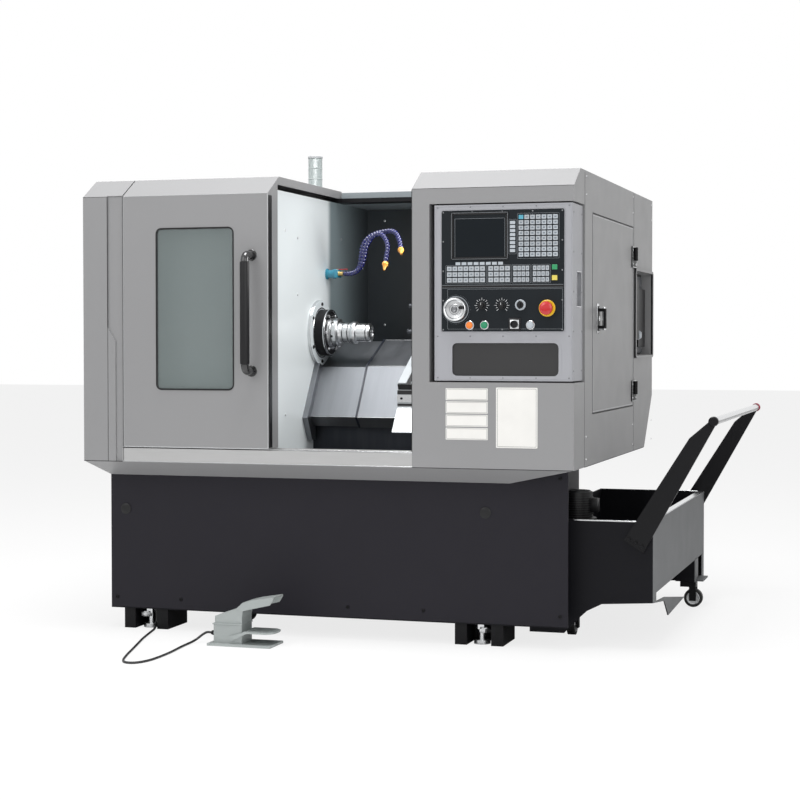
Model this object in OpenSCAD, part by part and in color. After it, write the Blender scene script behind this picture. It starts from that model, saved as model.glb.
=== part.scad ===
// Slant bed lathe with a sheet steel enclosure, a swing-out control box,
// a roll-out chip cart and a foot pedal. Millimetres, +Z up, front towards -Y.

/* [Enclosure] */
// Width of the enclosure
body_w = 1740; // [1700:5:1800]
// Depth of the enclosure
body_d = 1500; // [1490:5:1600]
// Height of the roof
roof_z = 1578; // [1570:1:1620]
// Height of the front's bottom edge
front_z = 600; // [590:1:606]
// Depth of the sloped edge along the top
slope_d = 100; // [60:1:120]
// Height of the sloped edge along the top
slope_h = 63; // [40:1:66]
// Set-back of the base behind the enclosure's front
lip_d = 120; // [100:1:125]
// Height of the tapered lip under the enclosure
lip_h = 55; // [40:1:60]
// Width of the tapered lip at the right end
lip_right_w = 242; // [200:1:260]
// Width of the tapered lip at the left end
lip_left_w = 42; // [30:1:60]
// Height of the rear slope's upper edge above the front's bottom edge
rear_slope_h = 200; // [150:5:260]
// Depth of the rear slope
rear_slope_d = 180; // [160:5:190]
// Width of the closed left end
end_w = 153; // [130:1:160]
// Width of the right housing
right_w = 543; // [530:1:550]
// Width of the cabinet along the right side
cabinet_w = 170; // [150:1:180]
// Sheet thickness of doors and covers
sheet = 3; // [2:0.5:4]

/* [Work area] */
// Distance of the headstock's wall left of the enclosure's middle
head_off = 190; // [180:1:200]
// Depth of the closed housing behind the work area
rear_d = 430; // [400:1:435]
// Depth of the fixed roof in front of the rear housing
roof_d = 288; // [270:1:300]
// Spindle axis distance behind the front
spindle_y = 515; // [505:1:520]
// Spindle axis height
spindle_z = 1047; // [1040:1:1052]

/* [Sliding door] */
// Depth of the door's front leaf
leaf_d = 88; // [70:1:90]
// Height of the hood's top tray
tray_h = 28; // [24:1:30]
// Gap between the hood's top tray and the fixed roof
tray_gap = 47; // [40:1:60]
// Height of the stainless sill
sill_h = 47; // [40:1:50]
// Distance from the window to the door's right edge
window_right = 128; // [110:1:150]
// Window height
window_h = 548; // [450:1:570]
// Distance from the door's left edge to the window
window_left = 127; // [110:1:140]
// Height of the window's lower edge
window_z = 852; // [840:1:880]
// Window corner radius
window_r = 18; // [10:1:30]
// Length of the door handle
handle_l = 419; // [380:1:440]
// Diameter of the door handle's bar
handle_dia = 32; // [26:1:36]
// Distance of the handle's bar from the door
handle_off = 60; // [50:1:66]

/* [Control box] */
// Height of the control box
box_h = 572; // [560:1:580]
// Depth of the control box
box_d = 158; // [140:1:160]
// Height of the control box's lower edge
box_z = 887; // [880:1:890]
// Gap between the control box and its pocket
box_gap = 5; // [5:0.5:6]
// Width of the dark gap at the hinge side
hinge_gap = 18; // [16:0.5:20]
// Diameter of the handwheel
wheel_dia = 77; // [60:1:80]
// Diameter of a dial's knob
knob_dia = 22; // [16:1:26]
// Diameter of the emergency stop's mushroom head
stop_dia = 44; // [36:1:46]

/* [Covers and slides] */
// Sheet thickness of the telescopic covers
cover_t = 2; // [1:0.5:2]
// Step from one telescopic cover to the next
cover_step = 2.3; // [2.2:0.1:5]
// Depth of the slant bed below the outer cover
bed_inset = 20; // [20:0.5:22]
// Running gap of slides on their ways
way_gap = 0.3; // [0.2:0.05:0.4]
// Space between the carriage and the right wall
right_space = 284; // [280:1:290]
// Width of the carriage
carriage_w = 240; // [236:1:242]
// Thickness of the cross slide
slide_t = 30; // [26:1:32]
// Angle of the cross slide
slide_angle = 30; // [29:0.5:30.5]
// Radius of the turret disc at its corners
disc_r = 95; // [85:1:96]
// Number of turret stations
stations = 8; // [6:1:10]
// Radius of the tool bores
tool_bore_r = 10; // [8:0.5:12]
// Radius of the collet chuck's through bore
spindle_bore_r = 13; // [8:0.5:16]

/* [Base] */
// Inset of the base casting at the left end
base_left = 70; // [66:1:80]
// Inset of the base casting at the right end
base_right = 260; // [250:1:266]
// Depth of the base's front and rear legs
leg_d = 184; // [180:1:190]
// Height of the levelling feet
foot_h = 72; // [70:1:80]
// Width of a levelling foot
foot_w = 167; // [150:1:170]
// Depth of a levelling foot
foot_d = 161; // [150:1:170]
// Height of the tunnel for the chip cart
tunnel_z = 330; // [325:1:345]
// Width of the chip chute
chute_w = 640; // [400:10:680]

/* [Chip cart] */
// Length of the low tank under the machine
tank_l = 1160; // [1100:5:1170]
// Height of the low tank's rim
tank_z = 300; // [280:1:310]
// Length of the tall box
bin_l = 415; // [400:1:440]
// Distance that the tall box stands out behind the base
bin_out = 80; // [70:1:90]
// Height of the tall box's rim
bin_z = 425; // [410:1:435]
// Sheet thickness of the cart
cart_t = 4; // [3:0.5:5]
// Height of the push bar's centre
bar_z = 757; // [745:1:757]
// Diameter of the push bar
bar_dia = 24; // [20:1:24]
// Diameter of the cart's wheels
caster_dia = 70; // [60:1:70]

/* [Foot pedal] */
// Length of the pedal's base plate
pedal_l = 226; // [216:1:236]
// Depth of the pedal's base plate
pedal_d = 120; // [110:1:130]
// Diameter of the pedal's cord
cord_dia = 8; // [7:0.5:9]

/* [Hidden] */
$fn = 48;

// Stations along X, measured from the enclosure's centre.
left_x = -body_w / 2;
right_x = body_w / 2;
seam = 5;
door_x = left_x + end_w;
head_x = -head_off;
housing_x = right_x - right_w;
inner_x = right_x - cabinet_w;
work_d = body_d - rear_d;
roof_open_d = work_d - roof_d;
tray_d = roof_open_d - tray_gap;
roof_front_z = roof_z - slope_h;
lip_z = front_z - lip_h;
wall_t = 3;

// Side outline of the enclosure, as [distance behind the front, height].
rear_low_y = body_d - rear_slope_d;
shell_outline = [[0, front_z], [0, roof_front_z], [slope_d, roof_z], [body_d, roof_z],
    [body_d, front_z + rear_slope_h], [rear_low_y, front_z]];

// Sliding door and its tracks.
sill_z = front_z + sill_h;
leaf_z = sill_z + seam;
tray_z = roof_z - tray_h;
head_roof_z = tray_z - 16;
head_front_y = leaf_d + 7;
rail_d = tray_gap + 35;
door_w = head_x - door_x + 10;
window_w = door_w - window_left - window_right;

// Base, tunnel, feet and chip cart.
base_x = left_x + base_left;
base_w = body_w - base_left - base_right;
base_front_y = lip_d + 6;
base_rear_y = rear_low_y;
tunnel_gap = 10;
tank_y = base_front_y + leg_d + tunnel_gap;
tank_d = base_rear_y - leg_d - tunnel_gap - tank_y;
bin_x = base_x + base_w + 70;
tank_x = bin_x - tank_l;
bin_right_x = bin_x + bin_l;
bin_y = base_front_y + 64;
bin_rear_y = base_rear_y + bin_out;
foot_front_y = base_front_y + 4;
foot_left_x = base_x + 18;
foot_right_x = base_x + base_w - 6 - foot_w;
chute_x = head_x + 40;
chute_y = [tank_y - tunnel_gap, tank_y + 80];

// Frame origin: the middle of the whole machine's outline on the floor.
pedal_x = -350;
pedal_y = -10 - pedal_d;
bar_x = bin_right_x + 199;
bar_r = bar_dia / 2;
origin_x = (left_x + bar_x + bar_r) / 2;
origin_y = (pedal_y + body_d) / 2;

module placed() {
    translate([-origin_x, -origin_y, 0]) children();
}

// A box between two corners.
module block(x, y, z) {
    translate([x[0], y[0], z[0]]) cube([x[1] - x[0], y[1] - y[0], z[1] - z[0]]);
}

// An outline drawn in [Y, Z], drawn out along X.
module along_x(x) {
    translate([x[0], 0, 0]) rotate([90, 0, 90]) linear_extrude(x[1] - x[0]) children();
}

// An outline drawn in [X, Z], drawn out along Y.
module along_y(y) {
    translate([0, y[1], 0]) rotate([90, 0, 0]) linear_extrude(y[1] - y[0]) children();
}

module rod_x(x, y, z, r) {
    translate([x[0], y, z]) rotate([0, 90, 0]) cylinder(h = x[1] - x[0], r = r);
}

module rod_y(x, y, z, r) {
    translate([x, y[1], z]) rotate([90, 0, 0]) cylinder(h = y[1] - y[0], r = r);
}

module rod_z(x, y, z, r) {
    translate([x, y, z[0]]) cylinder(h = z[1] - z[0], r = r);
}

// A flat rectangle with round corners.
module rounded(x, y, r) {
    translate([x[0] + r, y[0]]) square([x[1] - x[0] - 2 * r, y[1] - y[0]]);
    translate([x[0], y[0] + r]) square([x[1] - x[0], y[1] - y[0] - 2 * r]);
    for (cx = [x[0] + r, x[1] - r], cy = [y[0] + r, y[1] - r]) translate([cx, cy]) circle(r);
}

// Base and floor pan.
module base_casting() color("#15161f") placed() {
    base_body();
    for (y = [[tank_y - tunnel_gap, tank_y - way_gap],
        [tank_y + tank_d + way_gap, tank_y + tank_d + tunnel_gap]])
        block([base_x + 40, base_x + base_w - 40], y, guide_z);
}
guide_z = [220, 250];

module base_body() difference() {
    block([base_x, base_x + base_w], [base_front_y, base_rear_y], [foot_h, lip_z]);
    block([base_x - 1, base_x + base_w + 1], [tank_y - tunnel_gap, tank_y + tank_d + tunnel_gap],
        [foot_h - 1, tunnel_z]);
    block([chute_x - 12, chute_x + chute_w + 12], [chute_y[0], chute_y[1] + 12], [tunnel_z - 1, lip_z + 1]);
}

module front_apron() color("#171821") placed() difference() {
    along_y([lip_d, base_front_y]) polygon([[left_x + lip_left_w, foot_h], [apron_x, foot_h],
        [apron_x, lip_z + (apron_x - lip_end_x) * lip_h / lip_right_w], [lip_end_x, lip_z],
        [left_x + lip_left_w, lip_z]]);
    for (p = plug_places) rod_y(p[0], [lip_d - 1, base_front_y + 1], p[1], plug_r);
}
lip_end_x = right_x - lip_right_w;
apron_x = right_x - 44;
plug_r = 16;
plug_places = [[left_x + 100, 424], [right_x - 324, 446]];

// Feet: a block with a pocket open to the front and a bolt that levels the machine.
pocket_w = 84;
pocket_d = 100;
foot_x = [foot_left_x, foot_right_x];
foot_bolt_r = 12;

module foot_front(x) {
    mid = x + foot_w / 2;
    difference() {
        block([x, x + foot_w], [foot_front_y, foot_front_y + foot_d], [0, foot_h]);
        block([mid - pocket_w / 2, mid + pocket_w / 2], [foot_front_y - 1, foot_front_y + pocket_d],
            [-1, foot_h + 1]);
    }
}

module levelling_feet() color("#101117") placed() for (x = foot_x) {
    foot_front(x);
    translate([0, base_front_y + base_rear_y, 0]) mirror([0, 1, 0]) foot_front(x);
}

module levelling_bolts() color("#6f7378") placed() {
    for (x = foot_x, y = [foot_front_y + 45, base_front_y + base_rear_y - foot_front_y - 45]) {
        mid = x + foot_w / 2;
        rod_z(mid, y, [0, 14], 28);
        rod_z(mid, y, [14, foot_h], foot_bolt_r);
        translate([mid, y, foot_h - 22]) cylinder(h = 22, r = 21, $fn = 6);
    }
}

module floor_pan() color("#8d8d8d") placed() difference() {
    intersection() {
        along_y([0, rear_low_y]) polygon([[left_x, front_z], [left_x + lip_left_w, lip_z],
            [lip_end_x, lip_z], [right_x, front_z]]);
        along_x([left_x, right_x]) polygon([[0, front_z], [lip_d, lip_z], [rear_low_y, lip_z],
            [rear_low_y, front_z]]);
    }
    block([chute_x, chute_x + chute_w], chute_y, [lip_z - 1, front_z + 1]);
}

// Fixed housings.
strip_w = 62;
strip_deep = 5;
strip_step_z = 1040;

module left_end_housing() color("#8f8f90") placed() difference() {
    along_x([left_x, door_x - seam]) polygon(shell_outline);
    rod_x([left_x - 1, door_x], spindle_y, spindle_z, bar_hole_r);
    along_y([-1, strip_deep]) polygon([[door_x - strip_w, strip_step_z + 25], [door_x, strip_step_z + 25],
        [door_x, roof_z], [door_x - strip_w, roof_z]]);
    along_y([-1, strip_deep]) polygon([[door_x - strip_w / 2, front_z - 1], [door_x, front_z - 1],
        [door_x, strip_step_z + 26], [door_x - strip_w, strip_step_z + 26], [door_x - strip_w / 2,
        strip_step_z - 24]]);
}

module headstock_housing() color("#b9bcbd") placed() difference() {
    block([door_x - seam, head_x - wall_t], [head_front_y, work_d + wall_t], [front_z, head_roof_z]);
    rod_x([head_x - wall_t - spindle_deep, head_x], spindle_y, spindle_z, shaft_r + 0.05);
    rod_x([door_x - seam - 1, head_x], spindle_y, spindle_z, bar_hole_r);
}
bar_hole_r = 24;
shaft_r = 55;
spindle_deep = 120;

module headstock_wall() color("#e4e8ea") placed() difference() {
    block([head_x - wall_t, head_x], [head_front_y, work_d], [front_z, head_roof_z]);
    rod_x([head_x - wall_t - 1, head_x + 1], spindle_y, spindle_z, shaft_r + 20);
}

ring_r = 118;
ring_t = 12;

module spindle_cover_ring() color("#dfe3e6") placed() difference() {
    rod_x([head_x, head_x + ring_t], spindle_y, spindle_z, ring_r);
    rod_x([head_x - 1, head_x + ring_t + 1], spindle_y, spindle_z, flange_r + 1);
}

module rear_housing() color("#868687") placed() {
    along_x([door_x - seam, inner_x]) polygon([[work_d + wall_t, front_z], [work_d + wall_t, roof_z],
        [body_d, roof_z], [body_d, front_z + rear_slope_h], [rear_low_y, front_z]]);
}

module top_beam() color("#cdd6da") placed() {
    block([door_x - seam, housing_x], [roof_open_d, work_d + wall_t], [head_roof_z, roof_z]);
}

module door_top_rail() color("#2b2d31") placed() {
    block([door_x - seam, housing_x], [roof_open_d - rail_d, roof_open_d],
        [head_roof_z, tray_z - way_gap]);
}

module back_wall() color("#3c4247") placed() {
    block([head_x, inner_x], [work_d, work_d + wall_t], [front_z, head_roof_z]);
}

// Right housing with the pocket for the control box and the hollow cabinet.
pocket_y = box_d + box_gap;
front_deep = pocket_y + 7;
box_x = housing_x + 60 + hinge_gap;
box_right_x = right_x - 5;
box_top = box_z + box_h;

module right_front_housing() color("#8f8f90") placed() difference() {
    along_x([housing_x, right_x]) polygon([[0, front_z], [0, roof_front_z], [slope_d, roof_z],
        [front_deep, roof_z], [front_deep, front_z]]);
    block([box_x - hinge_gap, right_x + 1], [-1, pocket_y], [box_z - box_gap, box_top + box_gap]);
}

leaf_t = 18;
cab_y = [300, work_d - seam];
cab_z = [775, 1443];
cab_rebate = 30;
port_y = [work_d + 34, body_d - 28];
port_z = [964, 1281];
port_deep = 45;

module right_side_housing() color("#868687") placed() difference() {
    along_x([inner_x, right_x]) polygon([[front_deep, front_z], [front_deep, roof_z], [body_d, roof_z],
        [body_d, front_z + rear_slope_h], [rear_low_y, front_z]]);
    block([right_x - leaf_t - 5, right_x + 1], [cab_y[0] - seam, cab_y[1] + seam],
        [cab_z[0] - seam, cab_z[1] + seam]);
    block([inner_x + 15, right_x], [cab_y[0] + cab_rebate, cab_y[1] - cab_rebate],
        [cab_z[0] + cab_rebate, cab_z[1] - cab_rebate]);
    block([right_x - port_deep, right_x + 1], port_y, port_z);
}

module right_roof() color("#8f8f90") placed() {
    block([housing_x, inner_x], [front_deep, work_d + wall_t], [head_roof_z, roof_z]);
}

pin_x = box_x + 7;
pin_y = 12;
pin_r = 5;

module control_box_pins() {
    rod_z(pin_x, pin_y, [box_z - box_gap, box_z + 20], pin_r);
    rod_z(pin_x, pin_y, [box_top - 20, box_top + box_gap], pin_r);
}

// Cabinet hinges: the upper knuckle and pin belong to the housing.
hinge_x = right_x + 10;
hinge_y = cab_y[1] + seam;
knuckle_r = 8;
hinge_half = 25;
hinge_z = [815, 1320];
hinge_pin_r = 3;

module cabinet_hinge_posts() for (z = hinge_z) {
    rod_z(hinge_x, hinge_y, [z + hinge_half + 0.3, z + 2 * hinge_half], knuckle_r);
    rod_z(hinge_x, hinge_y, [z, z + hinge_half + 0.3], hinge_pin_r);
    block([right_x, right_x + 4], [hinge_y + 1, hinge_y + 38],
        [z + hinge_half + 0.3, z + 2 * hinge_half]);
    block([right_x + 2, right_x + 10], [hinge_y + 1, hinge_y + 7],
        [z + hinge_half + 0.3, z + 2 * hinge_half]);
}

module hinge_pins() color("#1d1e22") placed() {
    control_box_pins();
    cabinet_hinge_posts();
}

module side_port() color("#3a3c40") placed() {
    difference() {
        block([right_x, right_x + 6], [port_y[0] - 12, port_y[1] + 12], [port_z[0] - 12, port_z[1] + 12]);
        block([right_x - 1, right_x + 7], port_y, port_z);
    }
    block([right_x - port_deep, right_x - port_deep + 30], [port_y[0] + 20, port_y[1] - 190],
        [port_z[0] + 60, port_z[1] - 30]);
    block([right_x - port_deep, right_x - port_deep + 24], [port_y[1] - 170, port_y[1] - 20],
        [port_z[0] + 30, port_z[1] - 60]);
}

lamp_x = head_x - 157;
lamp_y = work_d - 170;
lamp_r = 23;

module tower_light() color("#eef2f2") placed() translate([lamp_x, lamp_y, roof_z]) rotate_extrude() {
    polygon([[0, 0], [34, 0], [34, 6], [16, 10], [16, 34], [lamp_r, 44], [lamp_r, 150], [lamp_r - 5, 158],
        [0, 158]]);
}

module sill() color("#b4b6b6") placed() {
    block([door_x - seam, housing_x], [0, leaf_d], [front_z, sill_z]);
    block([door_x - seam, housing_x], [leaf_d - 30, leaf_d - 20], [sill_z, leaf_z - way_gap]);
}

// Ways, covers and slides. The path runs up the outer cover as [Y, Z].
cover_path = [[410, 708], [372, 746], [490, 926], [693, 1020], [work_d - seam, 1020]];

function unit(v) = v / norm(v);
function outward(a, b) = [-unit(b - a)[1], unit(b - a)[0]];
function corner(a, b, c) = (outward(a, b) + outward(b, c)) / (1 + outward(a, b) * outward(b, c));
function inset_path(p, d) = [for (i = [0 : len(p) - 1])
    i == 0 ? p[0] - d * outward(p[0], p[1])
    : i == len(p) - 1 ? p[i] - d * outward(p[i - 1], p[i])
    : p[i] - d * corner(p[i - 1], p[i], p[i + 1])];
function band(p, d, t) = concat(inset_path(p, d), reverse(inset_path(p, d + t)));
function reverse(v) = [for (i = [len(v) - 1 : -1 : 0]) v[i]];

module cover(x, level) {
    along_x(x) polygon(band(cover_path, level * cover_step, cover_t));
}

bed_path = inset_path(cover_path, bed_inset);

module slant_bed() color("#2a2e36") placed() {
    along_x([head_x, inner_x]) polygon(concat([[bed_path[0][0] + 30, front_z]], [bed_path[0] + [30, 0]],
        bed_path, [[work_d, bed_path[4][1]], [work_d, front_z]]));
}

// Covers: the outer ones ride on the carriage, the middle ones follow at half its travel.
carriage_end = inner_x - right_space;
carriage_x = carriage_end - carriage_w;
end_plate_t = 20;
left_space = carriage_x - head_x - end_plate_t;
left_outer_l = left_space - 170;
right_outer_l = right_space - 139;

module fixed_covers() color("#3f444b") placed() {
    cover([head_x + end_plate_t, carriage_x - 95], 2);
    cover([inner_x - 140, inner_x], 2);
}

module left_middle_cover() color("#4a5058") placed()
    cover([carriage_x - left_outer_l, carriage_x - left_outer_l * 0.28], 1);
module left_moving_cover() color("#565c64") placed() cover([carriage_x - left_outer_l, carriage_x], 0);
module right_middle_cover() color("#4a5058") placed() cover([inner_x - 210, inner_x - 75], 1);
module right_moving_cover() color("#565c64") placed() cover([carriage_end, carriage_end + right_outer_l], 0);

end_plate_out = inset_path(cover_path, -22);

module way_end_plate() color("#33383f") placed() difference() {
    along_x([head_x, head_x + end_plate_t]) polygon(concat([[bed_path[0][0], bed_path[0][1] - 60]],
        [end_plate_out[0] + [-4, -30]], [for (i = [1 : 3]) end_plate_out[i]], [[work_d, end_plate_out[3][1]]],
        [[work_d, bed_path[3][1]]], [for (i = [3 : -1 : 0]) bed_path[i]]));
    rod_x([head_x - 1, head_x + end_plate_t + 1], spindle_y, spindle_z, ring_r + 1);
}

slide_y = 300;
slide_z = 867;
guide_y = [430, 770];
face_slope = (cover_path[2][1] - cover_path[1][1]) / (cover_path[2][0] - cover_path[1][0]);
guide_x = [carriage_x + 90, carriage_end];

module slanted() {
    translate([0, slide_y, slide_z]) rotate([slide_angle, 0, 0]) children();
}

function under_slide(y) = slide_z + (y - slide_y) * tan(slide_angle) - (slide_t + way_gap) / cos(slide_angle);

module carriage() color("#7b8087") placed() {
    along_x([carriage_x, carriage_end]) polygon(band(cover_path, 0, bed_inset - way_gap));
    along_x(guide_x) polygon([[guide_y[0], cover_path[1][1] + (guide_y[0] - cover_path[1][0]) * face_slope],
        [guide_y[0], under_slide(guide_y[0])], [guide_y[1], under_slide(guide_y[1])],
        [guide_y[1], cover_path[3][1]], cover_path[3], cover_path[2]]);
}

turret_along = 352;
turret_up = 48;
turret_x = carriage_x + 86;
disc_x = [carriage_x + 29, carriage_x + 79];

module cross_slide() color("#d6dadd") placed() {
    slanted() block([carriage_x + 4, carriage_end - 4], [0, 208], [-slide_t, 0]);
    slanted() block([turret_x, carriage_end - 4], [208, 470], [-slide_t, 0]);
    block([carriage_x + 4, carriage_end - 4], [slide_y, slide_y + 22], [785, slide_z - 20]);
    along_x([carriage_x + 4, carriage_end - 4]) polygon([[slide_y + 20, 785], [slide_y + 20, 781],
        [slide_y - 60, 700], [slide_y - 63, 703], [slide_y, 785]]);
}

module turret_body() color("#33373d") placed() slanted() difference() {
    block([turret_x, carriage_end - 20], [turret_along - 80, turret_along + 80], [0, 134]);
    translate([0, turret_along, turret_up]) rotate([0, 90, 0]) translate([0, 0, turret_x - 1])
        cylinder(h = 61, r = 30.05);
}

module station_bores() {
    for (i = [0 : stations - 1]) rotate([0, 0, i * 360 / stations]) translate([disc_r - 27, 0, -1])
        cylinder(h = disc_x[1] - disc_x[0] + 2, r = tool_bore_r);
}

// A holder stands on every other station and grips a round boring bar.
module tool_holder() {
    translate([-15, -15, -34]) cube([30, 30, 35]);
    translate([0, 0, -58]) cylinder(h = 26, r = 7);
    translate([-4, -9, -58]) cube([8, 18, 6]);
}

module turret_disc() color("#2a2d33") placed() slanted() translate([disc_x[0], turret_along, turret_up])
    rotate([0, 90, 0]) {
    difference() {
        cylinder(h = disc_x[1] - disc_x[0], r = disc_r, $fn = stations);
        station_bores();
    }
    for (i = [0 : 2 : stations - 1]) rotate([0, 0, i * 360 / stations]) translate([disc_r - 27, 0, 0])
        tool_holder();
    translate([0, 0, disc_x[1] - disc_x[0]]) cylinder(h = 60, r = 30);
}

// Spindle.
flange_r = 84;

module spindle_flange() color("#15161a") placed() difference() {
    union() {
        rod_x([head_x + 1, head_x + 50], spindle_y, spindle_z, flange_r);
        rod_x([head_x - wall_t - spindle_deep + 2, head_x + 1], spindle_y, spindle_z, shaft_r);
    }
    rod_x([head_x - wall_t - spindle_deep + 1, head_x + 51], spindle_y, spindle_z, spindle_bore_r + 3);
}

module collet_chuck() color("#55595e") placed() difference() {
    union() {
        rod_x([head_x + 50, head_x + 84], spindle_y, spindle_z, chuck_r);
        rod_x([head_x + 84, head_x + 130], spindle_y, spindle_z, nose_r);
        rod_x([head_x + 130, head_x + 150], spindle_y, spindle_z, nose_r + 4);
        rod_x([head_x + 150, nose_x], spindle_y, spindle_z, nose_r - 3);
    }
    for (turn = [0 : 60 : 300]) translate([0, spindle_y, spindle_z]) rotate([turn, 0, 0])
        rod_z(head_x + 67, 0, [chuck_r - 12, chuck_r + 1], 5);
    for (turn = [30 : 60 : 330]) translate([0, spindle_y, spindle_z]) rotate([turn, 0, 0])
        block([head_x + 131, head_x + 149], [-5, 5], [nose_r - 2, nose_r + 5]);
    rod_x([head_x + 49, nose_x + 1], spindle_y, spindle_z, spindle_bore_r);
}
chuck_r = 52;
nose_r = 36;
nose_x = head_x + 203;

// Coolant: a manifold on the headstock wall and two segmented hoses.
manifold_y = 600;
manifold_z = 1264;

module coolant_manifold() color("#2f6ea5") placed() {
    block([head_x, head_x + 34], [manifold_y - 24, manifold_y + 24], [manifold_z - 18, manifold_z + 18]);
    for (y = hose_y) {
        rod_x([head_x + 33, hose_start_x], y, manifold_z, nipple_r);
        rod_x([head_x + 44, head_x + 58], y, manifold_z, nipple_r + 3);
    }
}
hose_y = [manifold_y - 12, manifold_y + 12];
hose_start_x = head_x + 68;
nipple_r = 6;

// A hose is a chain of ball-shaped links. Its route is given as points from the manifold's face:
// it leaves level, climbs, and hangs over to its nozzle.
hose_r = 8.5;
hose_neck_r = 6.5;
hose_sides = 8;
short_route = [[0, -12, 0], [14, -12, 0], [30, -20, 0], [60, -44, 5], [92, -72, 26], [110, -92, 58],
    [124, -112, 92], [150, -132, 122], [178, -152, 135], [204, -171, 130], [225, -191, 110],
    [238, -211, 86], [241, -230, 58], [242, -250, 26]];
long_route = [[0, 12, 0], [14, 12, 0], [28, 8, 2], [52, -8, 12], [72, -28, 34], [82, -48, 60], [92, -66, 86],
    [110, -84, 112], [136, -100, 130], [168, -116, 140], [200, -132, 144], [232, -150, 144],
    [258, -172, 132], [276, -196, 108], [286, -214, 86], [292, -228, 74]];

// Points on a smooth curve through a route, as many to each stretch as steps.
function eased(p, steps) = [for (i = [0 : len(p) - 2], k = [0 : steps - 1])
    let (a = p[max(i - 1, 0)], b = p[i], c = p[i + 1], d = p[min(i + 2, len(p) - 1)], t = k / steps)
        0.5 * (2 * b + (c - a) * t + (2 * a - 5 * b + 4 * c - d) * t * t
            + (3 * b - 3 * c + d - a) * t * t * t)];

module hose(route) {
    points = eased([for (p = route) p + [hose_start_x + 0.1, manifold_y, manifold_z]], 4);
    swept_tube(points, [for (i = [0 : len(points) - 1]) i % 3 == 0 ? hose_neck_r : hose_r], hose_sides,
        [0, 1, 0]);
}

module coolant_hoses() color("#2b4fae") placed() {
    hose(short_route);
    hose(long_route);
}

// Sliding door.
hood_end = door_x + door_w;
hood_outline = [[0, leaf_z], [0, roof_front_z], [slope_d, roof_z], [tray_d, roof_z], [tray_d, tray_z],
    [leaf_d, tray_z], [leaf_d, leaf_z]];
hood_sheet = inset_path([[0, leaf_z], [0, roof_front_z], [slope_d, roof_z], [tray_d, roof_z]], sheet);
window_x = door_x + window_left;

module door_hood() color("#8f8f90") placed() difference() {
    along_x([door_x, hood_end]) polygon(hood_outline);
    along_x([door_x + sheet, hood_end - sheet]) polygon([[sheet, leaf_z + sheet], hood_sheet[1], hood_sheet[2],
        [tray_d - sheet, roof_z - sheet], [tray_d - sheet, tray_z - 1], [leaf_d + 1, tray_z - 1],
        [leaf_d + 1, leaf_z + sheet]]);
    along_y([-1, sheet + 1]) rounded([window_x, window_x + window_w], [window_z, window_z + window_h], window_r);
}

module door_window() color("#a9b6b4") placed() {
    block([window_x - 12, window_x + window_w + 12], [sheet, sheet + 5], [window_z - 12, window_z + window_h + 12]);
}

bar_mid_x = hood_end - 60;
handle_z = 900;

module door_handle() color("#121317") placed() {
    rod_z(bar_mid_x, -handle_off, [handle_z, handle_z + handle_l], handle_dia / 2);
    for (z = [handle_z + 24, handle_z + handle_l - 24]) rod_y(bar_mid_x, [-handle_off, 0], z, handle_dia / 2 - 3);
}

// Control box: it swings out on the two pins at its front left edge.
fascia_x = [box_x + 25, box_x + 433];
fascia_z = [1048, 1440];
grip_z = [1130, 1240];

module control_box() color("#8b8c8e") placed() difference() {
    block([box_x, box_right_x], [0, box_d], [box_z, box_top]);
    rod_z(pin_x, pin_y, [box_z - 1, box_z + 21], pin_r + 0.05);
    rod_z(pin_x, pin_y, [box_top - 21, box_top + 1], pin_r + 0.05);
    block([box_right_x - 20, box_right_x + 1], [65, 130], grip_z);
    along_y([-1, 6]) rounded([box_x + 60, box_x + 415], [903, 1010], 14);
    rod_y(wheel_x, [-1, 20], wheel_z, 6.05);
    rod_y(stop_x, [-1, 20], stop_z, 8.05);
    for (x = dial_x) rod_y(x, [-1, 20], dial_z, 4.05);
}
wheel_x = box_x + 74;
wheel_z = fascia_z[0] + 71;
stop_x = box_x + 378;
stop_z = fascia_z[0] + 74;
dial_x = [box_x + 161, box_x + 228];
dial_z = fascia_z[0] + 84;
panel_t = 3;

module operator_panel() color("#17181c") placed() difference() {
    along_y([-panel_t, 0]) rounded(fascia_x, fascia_z, 6);
    rod_y(wheel_x, [-panel_t - 1, 1], wheel_z, 9);
    rod_y(stop_x, [-panel_t - 1, 1], stop_z, 11);
    for (x = dial_x) rod_y(x, [-panel_t - 1, 1], dial_z, 7);
}

module panel_buttons() color("#c9ccce") placed() {
    for (x = [120, 170, 323]) difference() {
        rod_y(box_x + x, [-panel_t - 5, -panel_t], fascia_z[0] + 20, 15);
        rod_y(box_x + x, [-panel_t - 6, -panel_t - 3], fascia_z[0] + 20, 12);
    }
    for (x = [120, 170, 323]) rod_y(box_x + x, [-panel_t - 9, -panel_t - 3], fascia_z[0] + 20, 11);
    rod_y(box_x + 290, [-panel_t - 6, -panel_t], fascia_z[0] + 85, 17);
    rod_y(box_x + 290, [-panel_t - 18, -panel_t - 6], fascia_z[0] + 85, 11);
    block([box_x + 251, box_x + 291], [-panel_t - 5, -panel_t], [fascia_z[0] + 2, fascia_z[0] + 42]);
    rod_y(box_x + 271, [-panel_t - 14, -panel_t - 5], fascia_z[0] + 22, 14);
}

module handwheel() color("#cfd2d4") placed() translate([wheel_x, 0, wheel_z]) rotate([90, 0, 0]) {
    translate([0, 0, panel_t + 2]) cylinder(h = 22, r = wheel_dia / 2);
    translate([0, 0, -18]) cylinder(h = panel_t + 20, r = 6);
    translate([0, 26, panel_t + 24]) cylinder(h = 18, r = 6);
}

module emergency_stop() color("#c8202a") placed() translate([stop_x, 0, stop_z]) rotate([90, 0, 0]) {
    translate([0, 0, panel_t + 12]) cylinder(h = 14, r = stop_dia / 2);
    translate([0, 0, -12]) cylinder(h = panel_t + 24, r = 8);
}

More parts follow.
